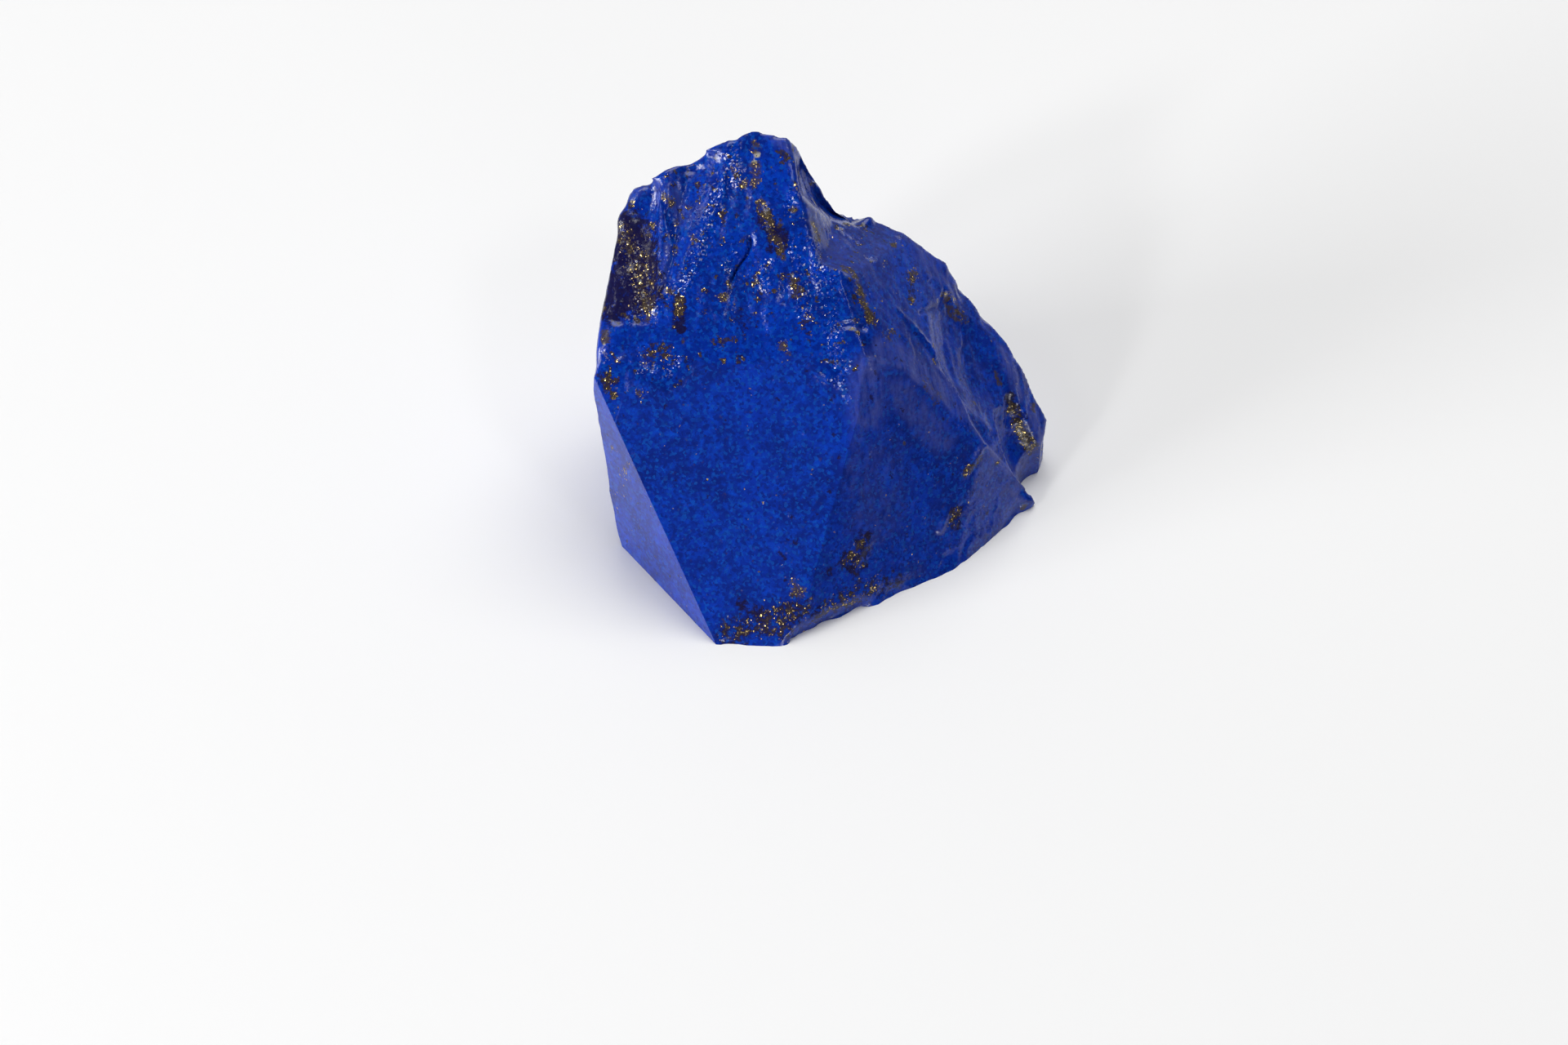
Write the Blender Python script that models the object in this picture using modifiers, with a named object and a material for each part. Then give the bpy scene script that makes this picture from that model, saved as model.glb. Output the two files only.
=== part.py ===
"""A hand-sized piece of rough lapis lazuli, broken from the vein and sawn on some sides.

The stone is one solid.  It starts as the convex body that its outermost corners
span, loses the breaks and hollows that were knocked out of it, gets the lumpy
relief of its broken faces, and is sawn flat underneath.  The two sawn faces at
the front keep their plain planes.  Places and sizes are in units of one
millimetre of a stone 61.5 mm wide, measured from a datum on the bench under
the stone; the last step turns them into metres and puts the origin in the
middle of the base.
"""

import math
from dataclasses import dataclass

import bmesh
import bpy
from mathutils import Matrix, Vector, noise

# Driving sizes
STONE_WIDTH = 0.0615
DESIGN_WIDTH = 61.5
UNIT = STONE_WIDTH / DESIGN_WIDTH
SAW_DEPTH = 1.0
REMESH_SIZE = 0.5
TRIANGLE_BUDGET = 10500

# Corners of the rough body, named for where they are on the stone
LEFT_SAW_TOP = (-25.2, 0.0, 28.7)
LEFT_SAW_FOOT = (-21.2, -5.4, -SAW_DEPTH)
FRONT_FOOT_LEFT = (-8.5, -22.9, -SAW_DEPTH)
FRONT_FOOT_RIGHT = (0.4, -23.3, -SAW_DEPTH)
CENTRE_RIDGE_TOP = (11.0, 0.3, 31.5)
RIGHT_FOOT_FRONT = (22.8, -9.0, -SAW_DEPTH)
RIGHT_FOOT = (33.2, 2.3, -SAW_DEPTH)
BAND_END = (26.5, 0.9, 13.9)

CORNERS = (
    LEFT_SAW_TOP,
    LEFT_SAW_FOOT,
    FRONT_FOOT_LEFT,
    FRONT_FOOT_RIGHT,
    CENTRE_RIDGE_TOP,
    RIGHT_FOOT_FRONT,
    RIGHT_FOOT,
    BAND_END,
    # back edge of the left sawn face
    (-23.4, -2.4, 18.7),
    (-23.1, -2.9, 9.6),
    (-22.2, -4.1, 2.0),
    # foot of the right tip, the lobe and the back
    (33.8, 3.7, 2.0),
    (35.6, 12.2, -SAW_DEPTH),
    (32.0, 20.0, -SAW_DEPTH),
    (23.0, 24.5, -SAW_DEPTH),
    (9.0, 26.5, -SAW_DEPTH),
    (-8.0, 25.0, -SAW_DEPTH),
    (-18.0, 18.0, -SAW_DEPTH),
    (-21.5, 6.0, -SAW_DEPTH),
    # belly of the back
    (-20.5, 20.5, 17.0),
    (-6.0, 28.5, 15.0),
    (12.0, 29.0, 13.0),
    (27.0, 23.5, 9.0),
    # narrow band between the right face and the wing
    (15.7, 1.4, 28.8),
    (20.7, 1.5, 22.5),
    (22.4, 1.3, 19.9),
    (20.5, 5.4, 24.7),
    (24.6, 2.4, 17.5),
    # peak and its right shoulder
    (-3.8, 23.5, 51.0),
    (0.2, 22.8, 50.5),
    (0.8, 21.7, 49.7),
    (3.8, 16.8, 45.7),
    (4.5, 11.8, 41.3),
    (6.7, 5.4, 36.3),
    # line where the broken front bends over into the front sawn face
    (-20.0, 3.0, 32.3),
    (-8.0, 3.2, 33.3),
    (2.0, 3.4, 34.0),
    # left rim, from the sawn face up to the peak
    (-25.2, 1.2, 30.5),
    (-24.6, 3.9, 32.6),
    (-24.3, 6.1, 34.1),
    (-23.9, 9.2, 36.4),
    (-23.0, 13.7, 39.6),
    (-22.1, 17.0, 42.0),
    (-20.8, 19.4, 43.8),
    (-16.1, 20.3, 47.2),
    (-14.0, 21.1, 47.6),
    (-9.7, 22.9, 49.0),
    (-8.1, 23.1, 50.1),
    # rim of the wing, from the saddle down to the lobe
    (11.8, 18.3, 37.9),
    (15.6, 20.4, 34.3),
    (18.1, 21.0, 32.0),
    (23.4, 20.6, 26.5),
    (29.5, 16.3, 17.5),
    (32.2, 15.3, 14.5),
    (35.7, 12.0, 8.0),
)


@dataclass(frozen=True)
class Break:
    """A wedge broken out: its bottom edge and one place on each of its two walls."""

    start: tuple
    end: tuple
    wall_1: tuple
    wall_2: tuple
    reach: float = 25.0


@dataclass(frozen=True)
class Hollow:
    """A shell-shaped hollow: its middle, its outward and long directions, half sizes and depth."""

    at: tuple
    outward: tuple
    along: tuple
    length: float
    width: float
    depth: float


BREAKS = (
    # saddle between the peak and the wing
    Break((7.4, 23.5, 37.4), (4.9, 9.8, 39.5), (3.0, 21.4, 45.3), (15.6, 20.4, 34.3)),
    # dark facet under the left rim
    Break((-17.0, 20.5, 44.5), (-17.3, 4.5, 33.8), (-16.2, 12.0, 42.0), (-23.2, 3.4, 32.3)),
    # channel beside it, which leaves the rim as a small nick
    Break((-11.8, 23.2, 47.6), (-15.6, 8.0, 36.6), (-9.2, 15.8, 44.4), (-16.4, 16.5, 44.6)),
)

HOLLOWS = (
    # trough of the wing, which ends beside the right tip
    Hollow((26.0, 9.6, 19.8), (0.74, -0.24, 0.62), (0.39, -0.37, -0.85), 13.0, 6.4, 1.8),
    Hollow((31.6, 6.4, 8.4), (0.80, -0.40, 0.44), (0.25, -0.15, -0.95), 7.5, 3.2, 2.2),
    Hollow((33.4, 6.6, 2.0), (0.90, -0.40, 0.10), (0.05, 0.0, -1.0), 6.0, 2.8, 1.4),
    # groove in the flank of the lobe
    Hollow((31.6, 8.6, 10.6), (0.75, -0.35, 0.56), (0.25, -0.45, -0.86), 4.6, 1.4, 1.6),

    # back of the stone
    Hollow((-6.0, 26.3, 31.0), (-0.1, 1.0, 0.1), (0.4, 0.0, 1.0), 15.0, 9.0, 2.8),
    Hollow((15.0, 27.6, 14.0), (0.25, 0.9, 0.35), (1.0, 0.0, -0.6), 11.0, 7.5, 2.2),
    Hollow((-22.6, 12.0, 24.0), (-1.0, 0.25, 0.0), (0.1, 0.3, 1.0), 13.0, 7.0, 1.5),
)
HOLLOW_LIFT = 1.5  # how far a hollow's egg stands clear of the surface, in depths of the hollow

# Low bumps and pits of the rims: place, reach and height
BUMPS = (
    ((-12.5, 20.9, 47.4), 1.9, -1.0),
    ((10.9, 19.2, 37.4), 2.4, 0.9),
    ((-19.0, 20.5, 45.2), 2.2, 0.5),
    ((27.2, 18.4, 20.6), 2.0, -0.5),
    ((21.6, 21.2, 28.6), 2.2, 0.6),
    ((23.8, 20.0, 25.0), 1.6, -0.6),
)


@dataclass(frozen=True)
class PlainFace:
    """A face with less relief than the broken ones: three places on it, its share and reach."""

    places: tuple
    relief: float
    reach: float

    def normal(self):
        """Direction square to the face."""
        a, b, c = (Vector(place) for place in self.places)
        return (b - a).cross(c - a).normalized()

    def distance(self, place):
        """How far a place lies from the face's plane."""
        return abs((place - Vector(self.places[0])).dot(self.normal()))


PLAIN_FACES = (
    PlainFace((LEFT_SAW_FOOT, FRONT_FOOT_LEFT, LEFT_SAW_TOP), 0.0, 0.9),
    PlainFace((FRONT_FOOT_LEFT, FRONT_FOOT_RIGHT, LEFT_SAW_TOP), 0.04, 0.9),
    PlainFace((FRONT_FOOT_RIGHT, RIGHT_FOOT_FRONT, CENTRE_RIDGE_TOP), 0.30, 2.6),
    PlainFace((RIGHT_FOOT_FRONT, RIGHT_FOOT, BAND_END), 0.45, 1.4),
)

# Rough patches on the plain faces, each a place and its reach
ROUGH_PATCHES = (
    ((-21.0, -0.5, 28.5), 5.5),
    ((-14.5, -1.5, 28.0), 5.0),
    ((8.0, -1.5, 29.0), 5.5),
    ((-6.0, -21.0, 1.5), 4.0),
    ((1.0, -20.0, 3.0), 4.0),
    ((10.5, -10.5, 7.5), 4.0),
    ((24.5, -4.5, 6.5), 3.5),
)

# How relief fades in: share of a plain face's reach left untouched, steepness and most of a patch
PLAIN_MARGIN = 0.15
PATCH_SLOPE = 1.6
PATCH_MOST = 0.8

# Relief of the broken faces, stretched along the grain of the stone
GRAIN = Vector((0.15, -0.72, -0.68)).normalized()
GRAIN_STRETCH = 1.8
LUMP_SIZE = 8.0
LUMP_HEIGHT = 0.5
LUMP_ROUGHNESS = 0.8
LUMP_STEP = 2.0
LUMP_OCTAVES = 3
FLAKE_SIZE = 4.2
FLAKE_HEIGHT = 0.4
CHIP_SIZE = 1.9
CHIP_HEIGHT = 0.22
CHIP_OFFSET = Vector((40.0, 0.0, 0.0))
FLAKE_LEAN = 1.3
FLAKE_EDGE = 0.16
LEVEL_SCALE = 5.1
TILT_SCALES = (3.7, 4.3, 4.9)


def mesh_object(name, shape):
    """Turn a bmesh into an object and free it."""
    bmesh.ops.recalc_face_normals(shape, faces=shape.faces)
    mesh = bpy.data.meshes.new(name)
    shape.to_mesh(mesh)
    shape.free()
    return bpy.data.objects.new(name, mesh)


def convex_body(name, corners):
    """Make the convex solid that spans the given corners."""
    shape = bmesh.new()
    for corner in corners:
        shape.verts.new(corner)
    found = bmesh.ops.convex_hull(shape, input=shape.verts)
    inner = [item for item in found["geom_interior"] if isinstance(item, bmesh.types.BMVert)]
    bmesh.ops.delete(shape, geom=inner, context="VERTS")
    return mesh_object(name, shape)


def break_cutter(name, cut):
    """Make the wedge of one break: its bottom edge and both walls carried outwards."""
    start = Vector(cut.start)
    end = Vector(cut.end)
    edge = (end - start).normalized()
    corners = [start, end]
    for wall in (cut.wall_1, cut.wall_2):
        outwards = Vector(wall) - start
        outwards -= edge * outwards.dot(edge)
        outwards.normalize()
        corners += [start + outwards * cut.reach, end + outwards * cut.reach]
    return convex_body(name, corners)


def hollow_cutter(name, hollow):
    """Make the egg-shaped cutter of one hollow, lifted so that only its shallow end cuts."""
    outward = Vector(hollow.outward).normalized()
    along = Vector(hollow.along)
    along = (along - outward * along.dot(outward)).normalized()
    across = outward.cross(along)
    turn = Matrix((along, across, outward)).transposed().to_4x4()
    lift = HOLLOW_LIFT / (HOLLOW_LIFT + 1.0)
    spread = 1.0 / math.sqrt(1.0 - lift * lift)
    height = hollow.depth * (HOLLOW_LIFT + 1.0)
    size = Matrix.Diagonal((hollow.length * spread, hollow.width * spread, height, 1.0))
    place = Matrix.Translation(Vector(hollow.at) + outward * hollow.depth * HOLLOW_LIFT)
    shape = bmesh.new()
    bmesh.ops.create_icosphere(shape, subdivisions=5, radius=1.0)
    bmesh.ops.transform(shape, matrix=place @ turn @ size, verts=shape.verts)
    return mesh_object(name, shape)


def seed_tilt(seed):
    """Lean of the flake that grows from one seed of the pattern."""
    return Vector([noise.noise(seed * scale) for scale in TILT_SCALES])


def flake_height(place, cell):
    """Height of angular flakes: each cell of a seeded pattern is a small tilted plane."""
    distances, seeds = noise.voronoi(place / cell)
    heights = []
    for seed in seeds[:2]:
        level = noise.noise(seed * LEVEL_SCALE)
        heights.append(level + FLAKE_LEAN * seed_tilt(seed).dot(place / cell - seed))
    share = min((distances[1] - distances[0]) / FLAKE_EDGE, 1.0)
    share = 0.5 + 0.5 * share * share * (3.0 - 2.0 * share)
    return heights[0] * share + heights[1] * (1.0 - share)


def relief_share(place):
    """How much relief a place has: little on the sawn and plain faces, all on the broken ones."""
    share = 1.0
    for face in PLAIN_FACES:
        blend = min(max(face.distance(place) / face.reach - PLAIN_MARGIN, 0.0), 1.0)
        share = min(share, face.relief + (1.0 - face.relief) * blend)
    if PLAIN_FACES[0].distance(place) < PLAIN_FACES[0].reach:
        return share
    for centre, reach in ROUGH_PATCHES:
        near = 1.0 - (place - Vector(centre)).length / reach
        share = max(share, min(max(near * PATCH_SLOPE, 0.0), PATCH_MOST))
    return share


def relief_height(place):
    """Height of the broken surface above its mean, from lumps, flakes and chips."""
    drawn = place - GRAIN * place.dot(GRAIN) * (1.0 - 1.0 / GRAIN_STRETCH)
    height = LUMP_HEIGHT * noise.fractal(drawn / LUMP_SIZE, LUMP_ROUGHNESS, LUMP_STEP, LUMP_OCTAVES)
    height += FLAKE_HEIGHT * flake_height(drawn, FLAKE_SIZE)
    height += CHIP_HEIGHT * flake_height(drawn + CHIP_OFFSET, CHIP_SIZE)
    return height


def bump_height(place):
    """Height that the named bumps and pits add."""
    height = 0.0
    for centre, reach, top in BUMPS:
        near = max(1.0 - (place - Vector(centre)).length / reach, 0.0)
        height += top * near * near * (3.0 - 2.0 * near)
    return height


def give_relief(stone):
    """Move each point of the even mesh along its normal by the relief."""
    normals = [vertex.normal.copy() for vertex in stone.data.vertices]
    for vertex, normal in zip(stone.data.vertices, normals):
        height = relief_height(vertex.co) * relief_share(vertex.co) + bump_height(vertex.co)
        vertex.co += normal * height


def apply_modifiers(stone):
    """Put the evaluated mesh in place of the object's own and drop the modifiers."""
    graph = bpy.context.evaluated_depsgraph_get()
    mesh = bpy.data.meshes.new_from_object(stone.evaluated_get(graph))
    stone.modifiers.clear()
    old = stone.data
    stone.data = mesh
    bpy.data.meshes.remove(old)


def saw_base(stone):
    """Cut the stone flat at the bench and close the cut."""
    shape = bmesh.new()
    shape.from_mesh(stone.data)
    everything = shape.verts[:] + shape.edges[:] + shape.faces[:]
    bmesh.ops.bisect_plane(
        shape, geom=everything, plane_co=(0.0, 0.0, 0.0), plane_no=(0.0, 0.0, 1.0), clear_inner=True
    )
    rim = [edge for edge in shape.edges if edge.is_boundary]
    bmesh.ops.holes_fill(shape, edges=rim, sides=0)
    bmesh.ops.triangulate(shape, faces=shape.faces)
    shape.to_mesh(stone.data)
    shape.free()


def settle(stone):
    """Turn design units into metres, with the origin in the middle of the base box."""
    lowest = Vector([min(vertex.co[axis] for vertex in stone.data.vertices) for axis in range(3)])
    highest = Vector([max(vertex.co[axis] for vertex in stone.data.vertices) for axis in range(3)])
    shift = -(lowest + highest) / 2.0
    shift.z = -lowest.z
    stone.data.transform(Matrix.Scale(UNIT, 4) @ Matrix.Translation(shift))
    return shift * UNIT


def lapis_material():
    """Plain deep blue of the stone, faintly glossy."""
    material = bpy.data.materials.new("lapis_blue")
    material.use_nodes = True
    shader = material.node_tree.nodes["Principled BSDF"]
    shader.inputs["Base Color"].default_value = (0.006, 0.03, 0.33, 1.0)
    shader.inputs["Roughness"].default_value = 0.45
    shader.inputs["Metallic"].default_value = 0.0
    return material


def build():
    """Model the stone and return how far it was moved to its own frame, in metres."""
    for old in list(bpy.data.objects):
        bpy.data.objects.remove(old, do_unlink=True)
    parts = bpy.data.collections.new("rough_lapis_lazuli")
    cutters = bpy.data.collections.new("cutters")
    bpy.context.scene.collection.children.link(parts)
    bpy.context.scene.collection.children.link(cutters)

    stone = convex_body("lapis_stone", CORNERS)
    parts.objects.link(stone)
    tools = [break_cutter(f"break_{index}", cut) for index, cut in enumerate(BREAKS)]
    tools += [hollow_cutter(f"hollow_{index}", hollow) for index, hollow in enumerate(HOLLOWS)]
    for tool in tools:
        tool.hide_render = True
        tool.display_type = "WIRE"
        cutters.objects.link(tool)
        cut = stone.modifiers.new(tool.name, "BOOLEAN")
        cut.operation = "DIFFERENCE"
        cut.solver = "EXACT"
        cut.object = tool
    remesh = stone.modifiers.new("even_mesh", "REMESH")
    remesh.mode = "VOXEL"
    remesh.voxel_size = REMESH_SIZE
    remesh.adaptivity = 0.0
    apply_modifiers(stone)

    give_relief(stone)
    thin = stone.modifiers.new("thin", "DECIMATE")
    thin.ratio = TRIANGLE_BUDGET / (2 * len(stone.data.polygons))
    apply_modifiers(stone)
    saw_base(stone)
    shift = settle(stone)
    stone.data.materials.append(lapis_material())
    return shift


FRAME_SHIFT = build()
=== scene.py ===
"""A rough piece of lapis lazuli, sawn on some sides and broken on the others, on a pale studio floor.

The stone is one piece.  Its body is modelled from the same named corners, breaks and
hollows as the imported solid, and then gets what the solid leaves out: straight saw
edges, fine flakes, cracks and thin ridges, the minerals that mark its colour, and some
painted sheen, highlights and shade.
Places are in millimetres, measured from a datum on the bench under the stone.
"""

import logging
import math
from dataclasses import dataclass
from enum import Enum

import bmesh
import bpy
import numpy as np
from mathutils import Matrix, Vector, noise


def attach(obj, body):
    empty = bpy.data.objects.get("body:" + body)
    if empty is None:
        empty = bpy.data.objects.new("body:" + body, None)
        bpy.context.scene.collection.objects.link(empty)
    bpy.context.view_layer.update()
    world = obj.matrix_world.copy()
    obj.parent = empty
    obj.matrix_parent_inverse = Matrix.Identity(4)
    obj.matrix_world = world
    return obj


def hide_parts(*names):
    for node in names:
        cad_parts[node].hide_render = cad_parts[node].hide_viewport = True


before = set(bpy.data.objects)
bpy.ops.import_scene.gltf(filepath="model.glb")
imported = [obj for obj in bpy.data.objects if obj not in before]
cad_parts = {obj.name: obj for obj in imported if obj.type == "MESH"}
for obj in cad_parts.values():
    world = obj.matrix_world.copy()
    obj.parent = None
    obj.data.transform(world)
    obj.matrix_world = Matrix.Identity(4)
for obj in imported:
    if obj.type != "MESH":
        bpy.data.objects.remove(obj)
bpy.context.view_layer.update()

log = logging.getLogger("lapis")

Place = tuple[float, float, float]
Limits = tuple[float, float]
Socket = bpy.types.NodeSocket

MILLIMETRE = 0.001
DATUM_SHIFT = Vector((-5.314, -3.117, 0.0))  # from the bench datum to the middle of the base, mm

# Corners of the rough body that its plain faces share
SAW_DEPTH = 1.0
LEFT_SAW_TOP: Place = (-25.2, 0.0, 28.7)
LEFT_SAW_FOOT: Place = (-21.2, -5.4, -SAW_DEPTH)
FRONT_FOOT_LEFT: Place = (-8.5, -22.9, -SAW_DEPTH)
FRONT_FOOT_RIGHT: Place = (0.4, -23.3, -SAW_DEPTH)
CENTRE_RIDGE_TOP: Place = (11.0, 0.3, 31.5)
RIGHT_FOOT_FRONT: Place = (22.8, -9.0, -SAW_DEPTH)
RIGHT_FOOT: Place = (33.2, 2.3, -SAW_DEPTH)
BAND_END: Place = (26.5, 0.9, 13.9)
PEAK: Place = (-3.8, 23.5, 51.0)
PEAK_RIGHT: Place = (0.2, 22.8, 50.5)
PEAK_SHOULDER: Place = (0.8, 21.7, 49.7)
LEFT_SAW_BACK_EDGE: tuple[Place, ...] = ((-23.4, -2.4, 18.7), (-23.1, -2.9, 9.6), (-22.2, -4.1, 2.0))
LEFT_RIM: tuple[Place, ...] = (
    (-25.2, 1.2, 30.5),
    (-24.6, 3.9, 32.6),
    (-24.3, 6.1, 34.1),
    (-23.9, 9.2, 36.4),
    (-23.0, 13.7, 39.6),
    (-22.1, 17.0, 42.0),
    (-20.8, 19.4, 43.8),
    (-16.1, 20.3, 47.2),
    (-14.0, 21.1, 47.6),
    (-9.7, 22.9, 49.0),
    (-8.1, 23.1, 50.1),
)

CORNERS: tuple[Place, ...] = (
    LEFT_SAW_TOP,
    LEFT_SAW_FOOT,
    FRONT_FOOT_LEFT,
    FRONT_FOOT_RIGHT,
    CENTRE_RIDGE_TOP,
    RIGHT_FOOT_FRONT,
    RIGHT_FOOT,
    BAND_END,
    *LEFT_SAW_BACK_EDGE,
    # foot of the right tip, the lobe and the back
    (33.8, 3.7, 2.0),
    (35.6, 12.2, -SAW_DEPTH),
    (32.0, 20.0, -SAW_DEPTH),
    (23.0, 24.5, -SAW_DEPTH),
    (9.0, 26.5, -SAW_DEPTH),
    (-8.0, 25.0, -SAW_DEPTH),
    (-18.0, 18.0, -SAW_DEPTH),
    (-21.5, 6.0, -SAW_DEPTH),
    # belly of the back
    (-20.5, 20.5, 17.0),
    (-6.0, 28.5, 15.0),
    (12.0, 29.0, 13.0),
    (27.0, 23.5, 9.0),
    # narrow band between the right face and the wing
    (15.7, 1.4, 28.8),
    (20.7, 1.5, 22.5),
    (22.4, 1.3, 19.9),
    (20.5, 5.4, 24.7),
    (24.6, 2.4, 17.5),
    # peak and its right shoulder
    PEAK,
    PEAK_RIGHT,
    PEAK_SHOULDER,
    (3.8, 16.8, 45.7),
    (4.5, 11.8, 41.3),
    (6.7, 5.4, 36.3),
    # line where the broken front bends over into the front sawn face
    (-20.0, 3.0, 32.3),
    (-8.0, 3.2, 33.3),
    (2.0, 3.4, 34.0),
    # rim from the left sawn face up to the peak
    *LEFT_RIM,
    # rim of the wing, from the saddle down to the lobe
    (11.8, 18.3, 37.9),
    (15.6, 20.4, 34.3),
    (18.1, 21.0, 32.0),
    (23.4, 20.6, 26.5),
    (29.5, 16.3, 17.5),
    (32.2, 15.3, 14.5),
    (35.7, 12.0, 8.0),
)


def square_to(a: Place, b: Place, c: Place) -> Vector:
    """Give the direction square to the plane through three places."""
    return (Vector(b) - Vector(a)).cross(Vector(c) - Vector(a)).normalized()


def smooth(near: np.ndarray) -> np.ndarray:
    """Ease values from 0 to 1 in and out, clipping those outside."""
    near = np.clip(near, 0.0, 1.0)
    return near * near * (3.0 - 2.0 * near)


def line_distance(points: np.ndarray, places: tuple[Place, ...]) -> np.ndarray:
    """Measure how far points lie from a line through some places.

    Args:
        points: one row per point, in millimetres.
        places: the line's corners in order, or a single place.

    Returns:
        The distance of each point.
    """
    corners = np.array(places, dtype=float)
    if len(corners) == 1:
        return np.linalg.norm(points - corners[0], axis=1)
    nearest = np.full(len(points), np.inf)
    for start, end in zip(corners[:-1], corners[1:]):
        along = end - start
        share = np.clip((points - start) @ along / (along @ along), 0.0, 1.0)
        nearest = np.minimum(nearest, np.linalg.norm(points - start - share[:, None] * along, axis=1))
    return nearest


@dataclass(frozen=True)
class Break:
    """A wedge broken out: its bottom edge and one place on each of its two walls."""

    start: Place
    end: Place
    wall_1: Place
    wall_2: Place
    reach: float = 25.0


@dataclass(frozen=True)
class Hollow:
    """A shell-shaped hollow: middle, outward and long directions, half sizes and depth."""

    at: Place
    outward: Place
    along: Place
    length: float
    width: float
    depth: float


@dataclass(frozen=True)
class PlainFace:
    """A face with less relief than the broken ones: places on it, its share and its reach."""

    places: tuple[Place, Place, Place]
    relief: float
    reach: float

    def distance(self, points: np.ndarray) -> np.ndarray:
        """Measure how far points lie from the face's plane."""
        return np.abs((points - np.array(self.places[0])) @ np.array(square_to(*self.places)))


@dataclass(frozen=True)
class SawCut:
    """A flat saw cut: places on it, the corners it cuts at and how much it takes off there."""

    places: tuple[Place, Place, Place]
    corners: tuple[Place, ...]
    allowance: float

    def normal(self) -> Vector:
        """Give the direction square to the cut, outwards."""
        return square_to(*self.places)

    def distance(self, points: np.ndarray) -> np.ndarray:
        """Measure how far points lie from the cut's plane."""
        return np.abs((points - np.array(self.places[0])) @ np.array(self.normal()))


@dataclass(frozen=True)
class Scar:
    """A crack, groove or raised seam drawn on the surface: its line, half width and height."""

    places: tuple[Place, ...]
    width: float
    height: float


@dataclass(frozen=True)
class Bump:
    """A low bump, or a pit where its height is below zero."""

    at: Place
    reach: float
    height: float


class Mineral(Enum):
    """What marks the surface, painted sheen and shade included; each value names the mesh attribute that
    says where.
    """

    PYRITE = "pyrite"
    DARK = "dark"
    PALE = "pale"
    BROWN = "brown"
    BRIGHT = "bright"
    # pale dust in part, and painted sheen and highlights where faces and thin ridges catch the lamps
    DUST_AND_SHEEN = "dust_and_sheen"
    FACETS = "facets"


class Surface(Enum):
    """How the surface was made; each value names the mesh attribute that says where."""

    SMOOTH_SAWN = "smooth_sawn"
    FINE_SAWN = "fine_sawn"
    MATTE = "matte"


@dataclass(frozen=True)
class Marking:
    """A vein, seam or patch of a mineral, or of painted sheen or shade: places along it, its reach and
    its strength.
    """

    mineral: Mineral
    places: tuple[Place, ...]
    reach: float
    strength: float
    fullness: float = 1.35  # above 1, the middle of the reach is marked evenly

    def share(self, points: np.ndarray) -> np.ndarray:
        """Give each point's share of the marking, from 0 to the strength."""
        near = 1.0 - line_distance(points, self.places) / self.reach
        return self.strength * smooth(self.fullness * near)


def markings(mineral: Mineral, *rows: tuple[tuple[Place, ...], float, float]) -> list[Marking]:
    """Mark one mineral in some spots, each given by its places, reach and strength."""
    return [Marking(mineral, *row) for row in rows]


LEFT_SAWN = SawCut(
    (LEFT_SAW_FOOT, FRONT_FOOT_LEFT, LEFT_SAW_TOP),
    (LEFT_SAW_TOP, LEFT_SAW_FOOT, FRONT_FOOT_LEFT, *LEFT_SAW_BACK_EDGE),
    0.6,
)
FRONT_SAWN = SawCut(
    (FRONT_FOOT_LEFT, FRONT_FOOT_RIGHT, LEFT_SAW_TOP),
    (FRONT_FOOT_LEFT, FRONT_FOOT_RIGHT, LEFT_SAW_TOP, CENTRE_RIDGE_TOP),
    0.35,
)
UNDERSIDE = SawCut(((0.0, 0.0, 0.0), (0.0, 1.0, 0.0), (1.0, 0.0, 0.0)), (), SAW_DEPTH)
FRONT_SKIN = PlainFace((FRONT_FOOT_LEFT, FRONT_FOOT_RIGHT, LEFT_SAW_TOP), 0.15, 0.9)
RIGHT_FACE = PlainFace((FRONT_FOOT_RIGHT, RIGHT_FOOT_FRONT, CENTRE_RIDGE_TOP), 0.22, 2.4)
FAR_RIGHT_FACE = PlainFace((RIGHT_FOOT_FRONT, RIGHT_FOOT, BAND_END), 0.35, 1.4)
PLAIN_FACES = (FRONT_SKIN, RIGHT_FACE, FAR_RIGHT_FACE)

BREAKS = (
    # saddle between the peak and the wing
    Break((7.4, 23.5, 37.4), (4.9, 9.8, 39.5), (3.0, 21.4, 45.3), (15.6, 20.4, 34.3)),
    # dark facet under the left rim
    Break((-17.0, 20.5, 44.5), (-17.3, 4.5, 33.8), (-16.2, 12.0, 42.0), (-23.2, 3.4, 32.3)),
    # channel beside it, which leaves the rim as a small nick
    Break((-11.8, 23.2, 47.6), (-15.6, 8.0, 36.6), (-9.2, 15.8, 44.4), (-16.4, 16.5, 44.6)),
)

HOLLOWS = (
    # trough of the wing, which ends beside the right tip
    Hollow((26.0, 9.6, 19.8), (0.74, -0.24, 0.62), (0.39, -0.37, -0.85), 13.0, 6.4, 1.8),
    Hollow((31.6, 6.4, 8.4), (0.80, -0.40, 0.44), (0.25, -0.15, -0.95), 7.5, 3.2, 2.2),
    Hollow((33.4, 6.6, 2.0), (0.90, -0.40, 0.10), (0.05, 0.0, -1.0), 6.0, 2.8, 1.4),
    # groove in the flank of the lobe
    Hollow((31.6, 8.6, 10.6), (0.75, -0.35, 0.56), (0.25, -0.45, -0.86), 4.6, 1.4, 1.6),
    # back of the stone
    Hollow((-6.0, 26.3, 31.0), (-0.1, 1.0, 0.1), (0.4, 0.0, 1.0), 15.0, 9.0, 2.8),
    Hollow((15.0, 27.6, 14.0), (0.25, 0.9, 0.35), (1.0, 0.0, -0.6), 11.0, 7.5, 2.2),
    Hollow((-22.6, 12.0, 24.0), (-1.0, 0.25, 0.0), (0.1, 0.3, 1.0), 13.0, 7.0, 1.5),
)

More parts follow.
